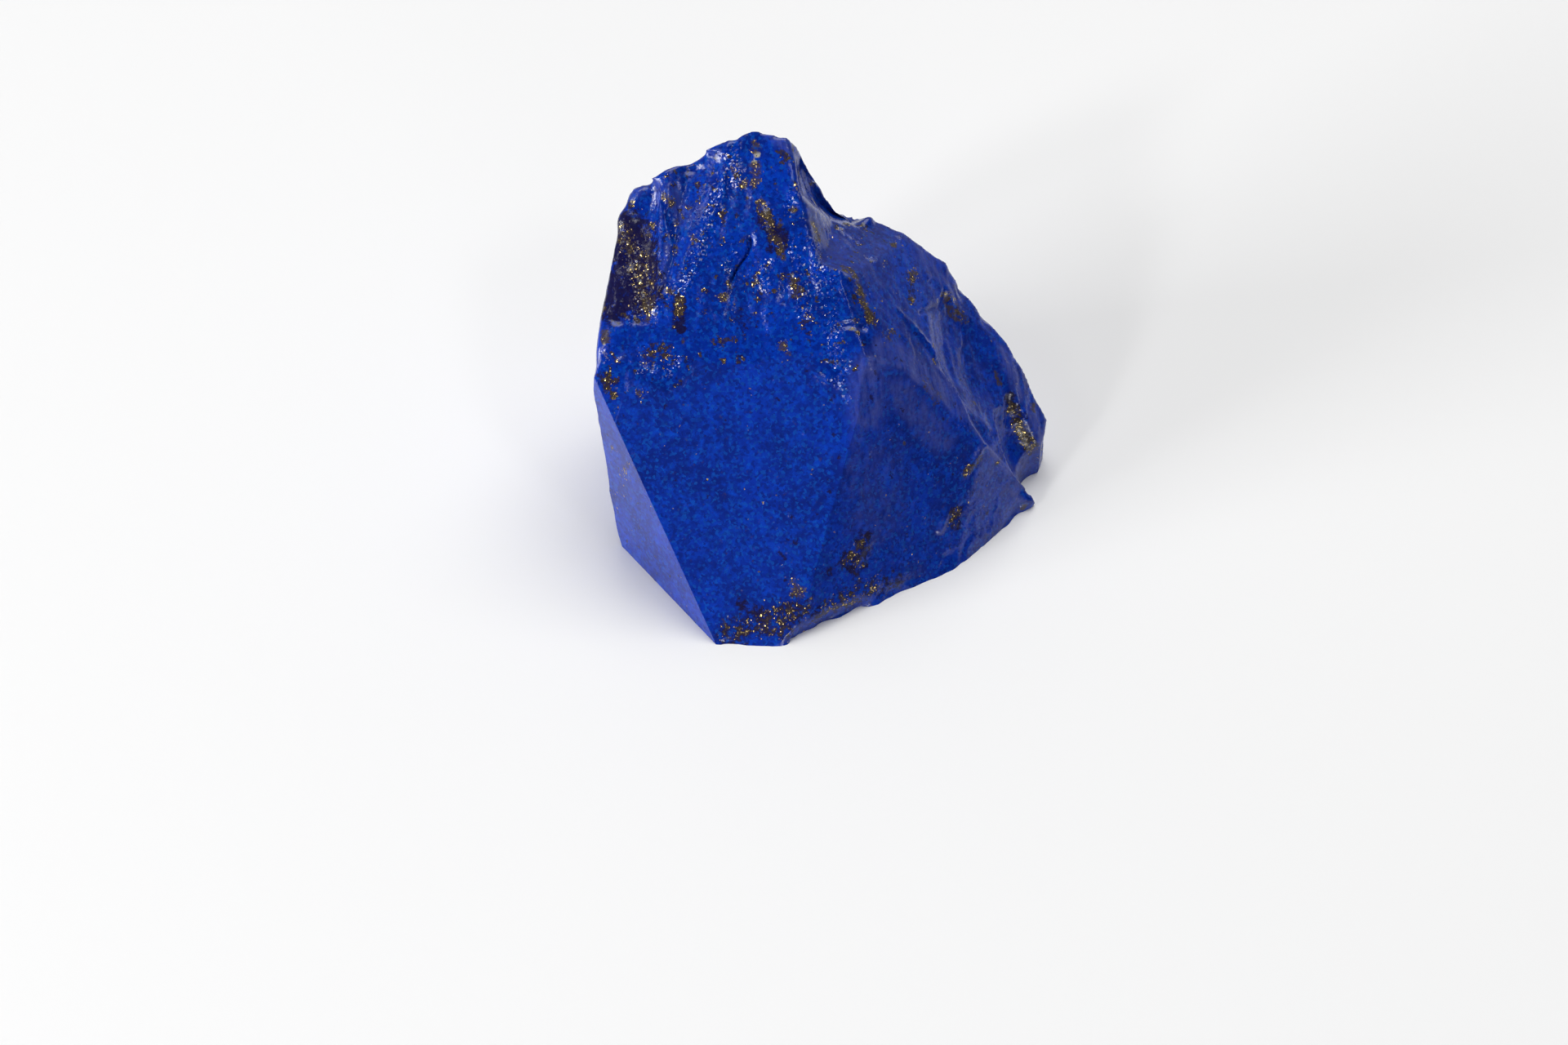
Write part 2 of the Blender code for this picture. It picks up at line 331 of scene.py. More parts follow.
BUMPS = (
    # rim left of the peak
    Bump((-12.5, 20.9, 47.4), 1.9, -1.0),
    Bump((-19.3, 19.9, 43.5), 3.0, 0.9),
    Bump((-21.8, 17.0, 41.3), 2.6, 0.5),
    # small lobe beside the saddle
    Bump((10.8, 21.4, 36.1), 2.0, 1.3),
    # rim of the wing
    Bump((21.6, 21.2, 28.6), 2.2, 0.6),
    Bump((23.8, 20.0, 25.0), 1.6, -0.6),
    Bump((27.2, 18.4, 20.6), 2.0, -0.5),
    # tip of the right foot
    Bump((33.2, 2.4, 1.4), 2.4, 0.8),
)

# Rough patches on the plain faces, and how far they lie above them
ROUGH_PATCHES = (
    Bump((-21.0, -0.5, 28.5), 5.5, -0.5),
    Bump((-14.5, -1.5, 28.0), 5.0, -0.5),
    Bump((8.0, -1.5, 29.0), 5.5, -0.5),
    Bump((-6.0, -21.0, 1.5), 4.0, -0.5),
    Bump((1.0, -20.0, 3.0), 4.0, -0.5),
    Bump((10.5, -10.5, 7.5), 4.0, 0.0),
    Bump((24.5, -4.5, 6.5), 3.5, 0.0),
)

# Rims that are worn round, with their reach; none is raised
WORN_RIMS = (
    Scar(LEFT_RIM, 2.8, 0.0),
    Scar((PEAK, PEAK_RIGHT, PEAK_SHOULDER), 2.0, 0.0),
)

# Feet of the right faces and of the front, which are chipped all along
CHIPPED_EDGES = (
    Scar(((0.4, -23.3, 0.6), (12.0, -15.8, 0.6), (22.8, -9.0, 0.6), (33.2, 2.3, 0.6)), 3.0, 0.0),
    Scar(((-8.0, -22.6, 0.3), (0.4, -23.1, 0.3)), 2.6, -0.55),
)

SCARS = (
    # strip above the front sawn face that the saw only just missed
    Scar(((-24.0, 0.0, 28.6), (-14.0, 0.2, 29.6), (-3.0, 0.2, 30.2), (9.5, 0.4, 31.0)), 4.5, -0.5),
    # crack across the broken front
    Scar(((-4.4, 12.6, 41.6), (-5.0, 10.9, 40.2), (-7.2, 8.6, 38.2)), 0.55, -0.7),
    # curved ridge from the peak down to the left rim
    Scar(
        (
            (-7.2, 22.4, 49.9),
            (-8.3, 20.5, 47.9),
            (-8.6, 16.8, 44.7),
            (-10.6, 12.3, 40.8),
            (-12.9, 8.5, 37.7),
            (-14.6, 7.4, 36.6),
            (-18.9, 6.1, 34.1),
            (-21.5, 4.6, 33.0),
        ),
        0.8,
        0.28,
    ),
    # edge of the dark facet
    Scar(((-16.2, 17.0, 44.0), (-15.3, 12.7, 40.4), (-16.0, 9.0, 37.3), (-17.4, 6.6, 35.2)), 0.7, 0.25),
    # thin ridge along the upper side of the band, and the band's lower edge
    Scar(((20.5, 5.7, 24.4), (22.4, 4.6, 21.6), (24.6, 2.3, 17.6), (26.9, 1.5, 13.8)), 0.5, 0.28),
    Scar(((26.9, 1.5, 13.8), (29.8, 2.4, 8.4), (32.4, 3.2, 3.4)), 0.5, 0.22),
    Scar(((11.0, 0.3, 31.5), (15.7, 1.4, 28.8), (20.7, 1.5, 22.5), (22.4, 1.3, 19.9)), 0.7, 0.1),
    # shoulder between the peak and the saddle
    Scar(((3.2, 20.6, 45.2), (5.2, 21.6, 41.6), (7.4, 23.2, 37.6), (8.6, 23.2, 36.6)), 4.6, -1.4),
    # foot where the front and the right face meet
    Scar(((2.0, -21.8, 0.2), (6.0, -18.9, 0.2), (10.0, -16.4, 0.2)), 2.8, -1.3),
    # small ledge above the right face
    Scar(((6.9, 3.4, 34.2), (8.6, 3.6, 34.6), (10.2, 3.5, 34.0)), 0.8, -0.5),
    # step from the right face to the far right one
    Scar(((26.5, 0.9, 13.9), (22.6, -2.6, 9.5), (20.9, -6.8, 5.8)), 0.9, 0.3),
    # steps across the wing
    Scar(((14.6, 9.0, 32.6), (17.4, 8.2, 29.2), (20.3, 7.0, 25.4)), 0.6, 0.35),
    Scar(((18.6, 11.0, 28.6), (20.9, 14.4, 27.0), (21.6, 17.4, 27.2)), 0.7, -0.4),
)

MARKINGS = (
    *markings(
        Mineral.PYRITE,
        # main vein, from the peak down the broken front
        (((-3.8, 22.2, 50.0), (-3.75, 21.4, 49.3)), 0.9, 0.6),
        (((-3.7, 19.7, 47.9), (-3.8, 18.2, 46.6)), 1.2, 0.7),
        (((-3.0, 15.8, 44.9), (-2.5, 14.9, 44.0), (-1.9, 14.2, 43.2)), 1.2, 0.8),
        (((-1.6, 12.8, 41.8), (-0.5, 11.8, 41.2), (-0.3, 10.6, 40.2)), 1.0, 0.6),
        # beside the main vein
        (((-5.3, 18.0, 46.4),), 1.1, 0.8),
        (((-6.8, 19.5, 47.8),), 1.3, 0.4),
        (((-0.5, 14.0, 43.0),), 0.9, 0.7),
        (((1.6, 8.2, 38.1), (1.7, 7.0, 36.9)), 1.1, 0.6),
        (((3.2, 4.4, 35.0),), 1.2, 0.5),
        (((-8.0, 6.8, 36.5),), 1.1, 1.0),
        (((-0.1, 1.8, 32.4),), 1.0, 1.0),
        (((0.5, 0.9, 31.6),), 0.8, 0.7),
        (((1.3, 15.5, 44.4),), 0.8, 0.8),
        (((1.8, 17.7, 46.5),), 1.2, 0.4),
        # dark facet under the left rim
        (((-19.4, 12.6, 38.2), (-18.6, 10.0, 36.6), (-18.1, 7.0, 35.1)), 2.6, 0.42),
        (((-18.1, 7.0, 35.1), (-18.1, 5.9, 34.0)), 1.4, 0.7),
        (((-21.4, 15.3, 40.1), (-20.6, 13.6, 38.8)), 1.8, 0.5),
        (((-17.4, 15.8, 41.0),), 0.9, 0.8),
        (((-15.4, 13.8, 41.1),), 0.9, 0.6),
        (((-14.4, 15.5, 41.9),), 0.8, 0.6),
        (((-16.0, 17.7, 44.6), (-14.9, 17.0, 44.0)), 0.9, 0.7),
        (((-11.9, 13.2, 41.5),), 0.9, 0.6),
        (((-14.4, 12.5, 39.8),), 1.1, 0.5),
        # below the dark facet, down to the sawn faces
        (((-15.0, 7.7, 36.7),), 1.2, 0.7),
        (((-13.8, 6.5, 36.0), (-13.8, 5.5, 34.8)), 1.1, 0.8),
        (((-23.8, 0.0, 28.7), (-22.7, -1.6, 26.9)), 1.2, 0.5),
        (((-19.0, -1.7, 27.1),), 1.1, 0.5),
        (((-22.0, -2.5, 25.7),), 0.7, 0.6),
        (((-18.3, 1.3, 30.9), (-15.7, 2.0, 31.8), (-15.2, 0.8, 30.7)), 1.8, 0.3),
        # shoulder and wing
        (((4.0, 14.7, 42.2), (4.6, 13.7, 40.8)), 0.8, 0.5),
        (((8.4, 10.6, 37.9), (8.9, 9.6, 37.4)), 1.2, 0.5),
        (((9.8, 8.0, 36.3), (10.6, 6.4, 35.0), (11.6, 5.3, 33.9)), 1.3, 0.7),
        (((9.5, 4.0, 34.8),), 0.9, 0.6),
        (((14.6, 18.3, 34.9),), 1.0, 0.5),
        (((17.0, 14.9, 32.0), (17.6, 16.0, 32.1)), 1.1, 0.8),
        (((17.1, 12.0, 30.7),), 0.9, 0.8),
        (((13.5, 14.4, 35.3),), 0.8, 0.6),
        (((21.6, 16.4, 27.1), (23.1, 17.3, 25.4), (24.3, 16.3, 22.9)), 1.1, 0.4),
        (((14.7, 5.1, 31.2), (13.3, 3.8, 31.9)), 1.6, 0.3),
        (((20.1, 8.2, 26.1),), 0.7, 0.8),
        (((19.9, 6.0, 25.1),), 0.7, 0.8),
        # groove in the flank of the lobe
        (((31.0, 10.2, 11.8), (31.7, 9.5, 9.8), (32.7, 9.1, 7.5), (33.8, 8.6, 5.3)), 1.3, 0.75),
        # right faces
        (((24.2, -1.7, 11.5), (25.0, -1.2, 12.2)), 0.9, 0.8),
        (((28.7, 1.7, 9.9),), 0.7, 0.8),
        (((16.0, -3.3, 19.1),), 0.5, 0.9),
        (((10.0, -13.4, 6.4),), 1.2, 0.7),
        (((8.3, -14.0, 7.7), (10.6, -12.0, 9.5)), 1.0, 0.5),
        (((7.9, -16.5, 3.1),), 0.9, 0.6),
        (((23.2, -4.8, 7.2), (22.6, -5.6, 6.4)), 1.3, 0.5),
        # front sawn face
        (((-4.5, -5.6, 22.6),), 0.6, 0.8),
        (((-0.3, -16.2, 8.5),), 0.8, 0.6),
        (((1.3, -17.4, 7.0), (2.5, -18.1, 6.0)), 0.9, 0.8),
        (((3.6, -18.2, 5.0),), 0.7, 0.9),
        (((-2.5, -20.7, 2.4), (-0.1, -21.2, 1.8)), 1.5, 0.45),
        (((0.5, -19.7, 4.1), (2.4, -19.6, 3.9)), 1.3, 0.3),
        # left sawn face
        (((-22.9, -3.2, 18.0),), 0.7, 0.6),
        (((-20.6, -6.3, 18.0), (-21.6, -5.0, 14.4)), 1.1, 0.35),
        # foot of the front
        (((-7.0, -21.5, 1.2), (-3.0, -20.6, 2.6), (1.6, -19.4, 4.0)), 2.6, 0.35),
        (((6.0, -17.4, 3.0), (11.6, -14.2, 3.0)), 2.4, 0.3),
    ),
    *markings(
        Mineral.DARK,
        # main vein, from the peak down the broken front
        (((-2.6, 14.6, 43.6), (-0.9, 13.2, 42.3), (-1.0, 11.9, 41.0)), 2.4, 0.8),
        # beside the main vein
        (((-5.4, 5.8, 35.3), (-5.5, 3.4, 33.6)), 1.8, 0.5),
        (((-1.2, 3.9, 34.4),), 1.6, 0.4),
        (((1.6, 8.2, 38.1), (1.7, 7.0, 36.9)), 1.6, 0.7),
        # dark facet under the left rim
        (((-20.6, 14.6, 40.3), (-19.6, 12.0, 38.0), (-19.0, 8.5, 35.8)), 5.6, 1.0),
        (((-22.3, 10.0, 36.5), (-22.6, 6.5, 34.4)), 3.4, 0.9),
        # below the dark facet, down to the sawn faces
        (((-13.8, 6.5, 36.0), (-13.8, 4.0, 33.6)), 1.6, 0.9),
        (((-23.8, 0.0, 28.7), (-22.7, -1.6, 26.9)), 1.4, 0.8),
        (((-19.0, -1.7, 27.1),), 1.3, 0.6),
        (((-18.3, 1.3, 30.9), (-15.7, 2.0, 31.8), (-15.2, 0.8, 30.7)), 2.2, 0.5),
        # shoulder and wing
        (((17.0, 14.9, 32.0), (17.1, 12.0, 30.7)), 1.5, 0.6),
        # groove in the flank of the lobe: dark stone, with painted shade deep in the groove
        (((30.6, 10.6, 13.2), (31.7, 9.5, 9.8), (33.8, 8.6, 5.3)), 1.9, 0.7),
        # right faces
        (((24.2, -1.7, 11.5), (26.2, 0.2, 12.8)), 1.5, 0.6),
        (((10.6, -12.0, 9.5), (10.0, -13.4, 6.4), (8.3, -14.0, 7.7)), 2.6, 0.7),
        (((12.0, -14.1, 2.4), (9.1, -16.4, 1.7)), 2.2, 0.6),
        (((23.2, -4.8, 7.2), (23.2, -5.4, 5.9)), 2.2, 0.7),
        # front sawn face
        (((-5.5, -18.9, 4.6), (-3.0, -20.0, 3.6)), 1.8, 0.8),
        (((-2.5, -20.7, 2.4), (-0.1, -21.2, 1.8)), 2.4, 0.7),
        # foot of the front
        (((-7.0, -21.5, 1.2), (-3.0, -20.6, 2.6), (1.6, -19.4, 4.0)), 3.4, 0.75),
        (((4.6, -18.6, 2.4), (9.6, -15.4, 3.4), (14.6, -12.8, 2.0)), 3.2, 0.6),
    ),
    *markings(
        Mineral.BROWN,
        # below the dark facet, down to the sawn faces
        (((-23.9, 3.9, 32.9), (-23.7, 3.2, 32.2)), 1.3, 0.9),
        (((-13.3, 2.7, 32.6),), 0.9, 0.7),
        # shoulder and wing
        (((4.0, 14.7, 42.2), (4.6, 13.7, 40.8)), 1.2, 0.9),
        (((8.4, 10.6, 37.9), (10.1, 7.5, 36.0), (11.6, 5.3, 33.9)), 1.7, 0.8),
        (((14.6, 18.3, 34.9),), 1.3, 0.8),
        (((21.6, 16.4, 27.1), (22.5, 15.7, 24.7), (24.3, 16.3, 22.9)), 1.5, 0.8),
        (((14.7, 5.1, 31.2), (13.3, 3.8, 31.9)), 2.0, 0.5),
        (((18.5, 2.2, 25.6), (20.2, 1.6, 23.0)), 2.2, 0.6),
        (((25.7, 6.3, 16.8),), 0.9, 0.7),
        (((29.2, 11.4, 15.4), (28.7, 12.4, 16.4)), 0.8, 0.9),
        # groove in the flank of the lobe
        (((33.9, 11.8, 10.2),), 1.6, 0.7),
        # right faces
        (((32.7, 2.3, 0.8),), 1.2, 0.8),
        # front sawn face
        (((-14.1, -2.2, 26.8), (-12.9, -2.9, 25.9)), 0.7, 0.6),
        (((-8.4, -19.6, 3.4), (-7.7, -20.2, 2.4), (-7.4, -20.8, 1.4)), 0.6, 0.9),
    ),
    *markings(
        Mineral.PALE,
        # main vein, from the peak down the broken front
        (((-3.6, 21.0, 49.0),), 0.8, 1.0),
        (((-3.9, 20.3, 48.4),), 0.7, 0.9),
        # below the dark facet, down to the sawn faces
        (((-23.8, 2.6, 31.7), (-23.7, 0.9, 30.1)), 0.9, 0.45),
        # shoulder and wing
        (((20.6, 15.3, 27.9), (20.9, 14.6, 27.2)), 0.9, 0.5),
        # groove in the flank of the lobe
        (((29.6, 15.2, 17.9), (31.2, 13.0, 14.8), (31.9, 11.6, 13.0)), 1.1, 0.35),
        # right faces
        (((31.8, 2.1, 2.4), (29.4, 0.8, 4.2)), 0.6, 0.3),
        (((23.0, 0.9, 18.4), (24.5, 1.6, 17.2)), 0.8, 0.3),
    ),
    *markings(
        Mineral.BRIGHT,
        # shoulder and wing
        (((15.6, 17.0, 33.6), (17.0, 14.0, 31.6), (18.6, 11.0, 29.2)), 3.2, 1.0),
        # right faces
        (((13.4, -6.1, 16.9), (14.2, -6.8, 14.5)), 0.7, 0.8),
        (((14.0, -5.4, 17.4), (15.6, -6.4, 13.4)), 0.6, 0.5),
        # front sawn face
        (((-12.9, -2.9, 25.9), (-11.5, -3.3, 25.3)), 0.8, 0.7),
    ),
    *markings(
        Mineral.FACETS,
        # along the curved ridge
        (
            (
                (-6.6, 21.6, 49.2), (-7.6, 19.4, 47.2), (-8.8, 16.8, 44.7), (-9.7, 14.8, 42.9),
                (-10.6, 12.3, 40.8), (-11.9, 10.1, 39.2), (-12.9, 8.5, 37.7), (-14.6, 7.4, 36.6),
            ),
            1.5,
            1.0,
        ),
        (((-7.3, 20.9, 48.6), (-6.4, 18.6, 46.8)), 1.6, 0.8),
        (((-20.5, 5.1, 33.5), (-18.9, 6.1, 34.1)), 0.9, 1.0),
        (((-15.3, 12.7, 40.4), (-16.0, 9.0, 37.3)), 0.7, 0.7),
        # streaks on the right of the broken front
        (((1.6, 17.4, 46.4), (0.5, 15.1, 44.0)), 1.1, 0.8),
        (((1.6, 11.7, 41.4), (2.4, 8.2, 38.2), (2.7, 5.2, 35.7)), 1.9, 0.7),
        (((4.3, 12.5, 40.6), (4.8, 9.2, 39.3), (5.4, 7.5, 38.0)), 1.3, 1.0),
        (((5.4, 7.5, 38.0), (5.9, 5.1, 35.8), (6.4, 3.5, 34.3)), 1.9, 0.8),
        (((6.4, 3.5, 34.3), (7.2, 1.5, 32.5), (7.4, -0.3, 30.5)), 2.0, 0.8),
        (((5.0, -1.0, 29.0), (7.4, -1.8, 28.4)), 1.4, 0.7),
        (((8.2, -2.8, 27.3),), 1.1, 0.8),
        (((-2.2, 9.9, 39.4), (-2.7, 8.0, 37.5)), 1.3, 1.0),
        (((-6.6, 11.5, 40.0), (-7.6, 9.6, 38.5)), 1.2, 0.6),
        # by the left edge
        (((-15.6, -0.4, 29.1), (-14.0, 0.9, 30.8)), 1.0, 1.0),
        (((-17.3, 0.4, 29.8), (-19.2, -0.2, 29.0)), 1.0, 0.8),
        (((-23.7, 2.0, 31.3), (-23.4, 0.6, 29.8)), 0.9, 0.6),
        # dark facet under the left rim
        (((-20.6, 13.6, 38.8), (-18.9, 9.5, 36.4), (-18.1, 6.4, 34.6)), 2.4, 0.45),
    ),
    *markings(
        Mineral.DUST_AND_SHEEN,
        # partly pale dust, partly painted sheen on faces turned to the lamps and painted highlights along
        # thin ridges and edges
        # peak, shoulder and rim
        (((-1.7, 23.1, 50.6), (-0.5, 22.3, 50.1), (0.8, 21.4, 49.6)), 1.3, 0.9),
        (((1.8, 20.4, 48.4), (3.6, 16.9, 45.4), (4.6, 13.0, 42.0)), 1.6, 0.3),
        (((-15.0, 18.2, 45.0), (-13.2, 16.0, 42.6)), 1.7, 0.6),
        (((-20.8, 19.0, 43.4), (-18.6, 19.6, 44.8)), 1.5, 0.6),
        (((-15.3, 12.7, 40.4), (-16.0, 9.0, 37.3)), 0.7, 0.9),
        # wing
        (((8.0, 14.0, 38.4), (11.5, 12.0, 36.2), (12.5, 16.0, 36.4)), 3.6, 0.3),
        (((17.5, 19.5, 31.4), (21.5, 19.5, 28.0)), 2.4, 0.6),
        (((29.6, 15.2, 17.9), (31.2, 13.0, 14.8), (31.9, 11.6, 13.0)), 1.5, 1.0),
        (((34.6, 10.5, 9.5), (35.0, 10.0, 6.0)), 2.6, 0.8),
        # band and its ridges
        (((13.0, 2.6, 31.2), (18.5, 3.4, 26.0), (23.4, 3.0, 19.8)), 2.6, 0.8),
        (((20.5, 5.7, 24.4), (22.4, 4.6, 21.6), (24.6, 2.3, 17.6)), 0.55, 1.6),
        (((24.6, 2.3, 17.6), (26.9, 1.5, 13.8), (31.0, 2.8, 6.0)), 0.5, 1.2),
        (((11.0, 0.3, 31.5), (15.7, 1.4, 28.8), (20.7, 1.5, 22.5)), 0.5, 1.2),
        # right faces: painted sheen and pale dust at the top and along the middle ridge
        (((11.4, -0.6, 30.4), (11.2, -3.6, 25.0)), 3.8, 0.75),
        (((14.8, -0.2, 26.6), (18.4, -0.6, 21.0), (20.8, -0.4, 17.0)), 3.0, 0.6),
        (((9.8, -4.4, 23.6), (8.6, -9.0, 17.0)), 1.6, 0.4),
        (((26.5, 0.9, 13.9), (22.6, -2.6, 9.5), (20.9, -6.8, 5.8)), 0.7, 0.7),
        (((30.2, 0.6, 6.6), (32.2, 2.0, 2.4)), 0.8, 0.9),
        (((27.4, -0.2, 9.8), (26.0, -1.0, 7.6)), 2.2, 0.35),
        (((12.0, -6.0, 18.0), (12.0, -9.0, 12.0)), 6.5, 0.3),
    ),
)


@dataclass(frozen=True)
class Grain:
    """The direction in which the stone splits, and how far the relief is drawn out along it."""

    direction: Place = (0.15, -0.72, -0.68)
    stretch: float = 1.8

    def drawn(self, place: Vector) -> Vector:
        """Squeeze a place along the grain, so that patterns read there come out long."""
        along = Vector(self.direction).normalized()
        return place - along * place.dot(along) * (1.0 - 1.0 / self.stretch)


@dataclass(frozen=True)
class Relief:
    """Heights of the broken surface above its mean, as lumps, fibres and three sizes of flakes."""

    grain: Grain = Grain()
    fibres: Grain = Grain(stretch=8.0)
    fibre_size: float = 1.1
    fibre_height: float = 0.07
    lump_size: float = 8.0
    lump_height: float = 0.4
    warp_size: float = 5.5
    warp_reach: float = 1.1
    flake_sizes: tuple[float, float, float] = (4.2, 1.9, 0.95)
    flake_heights: tuple[float, float, float] = (0.28, 0.12, 0.05)
    flake_offset: float = 40.0
    flake_lean: float = 1.3
    flake_edge: float = 0.16
    level_scale: float = 5.1  # this and the next spread a flake's seed over the noise
    tilt_scales: tuple[float, float, float] = (3.7, 4.3, 4.9)
    warp_offset: float = 17.0
    fractal: tuple[float, float, int] = (0.9, 2.0, 2)  # roughness, how much finer each time, times

    def flake(self, place: Vector, cell: float) -> float:
        """Read the height of angular flakes, each a small tilted plane with a short edge.

        Args:
            place: where to read, in millimetres.
            cell: how wide the flakes are.

        Returns:
            The height, for flakes of height 1.
        """
        distances, seeds = noise.voronoi(place / cell)
        heights = []
        for seed in seeds[:2]:
            tilt = Vector([noise.noise(seed * scale) for scale in self.tilt_scales])
            level = noise.noise(seed * self.level_scale)
            heights.append(level + self.flake_lean * tilt.dot(place / cell - seed))
        share = min((distances[1] - distances[0]) / self.flake_edge, 1.0)
        share = 0.5 + 0.5 * share * share * (3.0 - 2.0 * share)
        return heights[0] * share + heights[1] * (1.0 - share)

    def warp(self, place: Vector, normal: Vector) -> Vector:
        """Read how far a place is pushed aside along the surface, so that no ridge runs straight."""
        offsets = [Vector((0.0, 0.0, self.warp_offset * way)) for way in range(3)]
        push = Vector([noise.noise(place / self.warp_size + offset) for offset in offsets])
        push *= self.warp_reach
        return push - normal * push.dot(normal)

    def height(self, place: Vector) -> float:
        """Read the height of the broken surface at a place."""
        drawn = self.grain.drawn(place)
        height = self.lump_height * noise.fractal(drawn / self.lump_size, *self.fractal)
        height += self.fibre_height * noise.noise(self.fibres.drawn(place) / self.fibre_size)
        for index, (cell, top) in enumerate(zip(self.flake_sizes, self.flake_heights)):
            offset = Vector((self.flake_offset * index, 0.0, 0.0))
            height += top * self.flake(drawn + offset, cell)
        return height


def colour(code: str) -> tuple[float, float, float, float]:
    """Turn an sRGB hex colour into linear light with full alpha.

    Args:
        code: six hex digits.

    Returns:
        Red, green, blue and alpha.
    """
    parts = [int(code[start : start + 2], 16) / 255.0 for start in (0, 2, 4)]
    linear = [part / 12.92 if part <= 0.04045 else ((part + 0.055) / 1.055) ** 2.4 for part in parts]
    return (*linear, 1.0)


def grey(value: float) -> tuple[float, float, float, float]:
    """Write a value as a grey, for mixing."""
    return (value, value, value, 1.0)


def add(tree: bpy.types.NodeTree, kind: str, inputs: dict, **settings: object) -> bpy.types.Node:
    """Add a node with its settings, values and links.

    Args:
        tree: the node tree.
        kind: the node's type name.
        inputs: socket name or number to a value, or to the socket that feeds it.
        settings: the node's own properties.

    Returns:
        The node.
    """
    node = tree.nodes.new(kind)
    for name, value in settings.items():
        setattr(node, name, value)
    for socket, value in inputs.items():
        if isinstance(value, bpy.types.NodeSocket):
            tree.links.new(value, node.inputs[socket])
        else:
            node.inputs[socket].default_value = value
    return node


@dataclass(frozen=True)
class Tint:
    """How something shows: its colour, the values between which it comes in, and its strength."""

    code: str
    start: float
    full: float
    strength: float = 1.0


@dataclass(frozen=True)
class Nodes:
    """Short ways to add the nodes that the material uses most."""

    tree: bpy.types.NodeTree

    def ramp(self, value: Socket, limits: Limits) -> Socket:
        """Stretch a value so that the first limit becomes 0 and the second 1."""
        inputs = {"Value": value, "From Min": limits[0], "From Max": limits[1]}
        return add(self.tree, "ShaderNodeMapRange", inputs).outputs["Result"]

    def maths(self, how: str, first: object, second: object) -> Socket:
        """Work out one sum with two values or sockets."""
        return add(self.tree, "ShaderNodeMath", {0: first, 1: second}, operation=how).outputs[0]

    def vector(self, how: str, *terms: object) -> Socket:
        """Work out one sum with vectors or sockets."""
        return add(self.tree, "ShaderNodeVectorMath", dict(enumerate(terms)), operation=how).outputs[0]

    def dot(self, first: object, second: object) -> Socket:
        """Multiply two vectors into one number."""
        inputs = {0: first, 1: second}
        return add(self.tree, "ShaderNodeVectorMath", inputs, operation="DOT_PRODUCT").outputs["Value"]

    def scale(self, vector: object, share: object) -> Socket:
        """Scale a vector by a number."""
        inputs = {0: vector, "Scale": share}
        return add(self.tree, "ShaderNodeVectorMath", inputs, operation="SCALE").outputs[0]

    def mix(self, share: object, first: object, second: object) -> Socket:
        """Mix two colours by a share."""
        inputs = {0: share, 6: first, 7: second}
        return add(self.tree, "ShaderNodeMix", inputs, data_type="RGBA").outputs[2]

    def share(self, value: Socket, tint: Tint) -> Socket:
        """Give how far a tint comes in at a value."""
        return self.maths("MULTIPLY", self.ramp(value, (tint.start, tint.full)), tint.strength)

    def lay(self, tone: object, value: Socket, tint: Tint) -> Socket:
        """Lay a tint over a colour where a value calls for it."""
        return self.mix(self.share(value, tint), tone, colour(tint.code))

    def noise(self, place: Socket, size_mm: float, detail: float, roughness: float) -> Socket:
        """Read soft spots about as wide as a size."""
        scale = 1.0 / MILLIMETRE / size_mm
        inputs = {"Vector": place, "Scale": scale, "Detail": detail, "Roughness": roughness}
        return add(self.tree, "ShaderNodeTexNoise", inputs).outputs["Fac"]

    def cells(self, place: Socket, size_mm: float) -> bpy.types.Node:
        """Part space into grains about as wide as a size."""
        inputs = {"Vector": place, "Scale": 1.0 / MILLIMETRE / size_mm}
        return add(self.tree, "ShaderNodeTexVoronoi", inputs)

    def chances(self, cells: bpy.types.Node) -> list[Socket]:
        """Give three chance values of each grain, from its colour."""
        parts = add(self.tree, "ShaderNodeSeparateColor", {"Color": cells.outputs["Color"]})
        return list(parts.outputs)


@dataclass(frozen=True)
class Patterns:
    """What the steps of the material share: places, masks and chance patterns."""

    place: Socket
    swirl: Socket
    masks: dict[Enum, Socket]
    mottle: Socket
    ragged: Socket
    grain: list[Socket]
    sawn: Socket


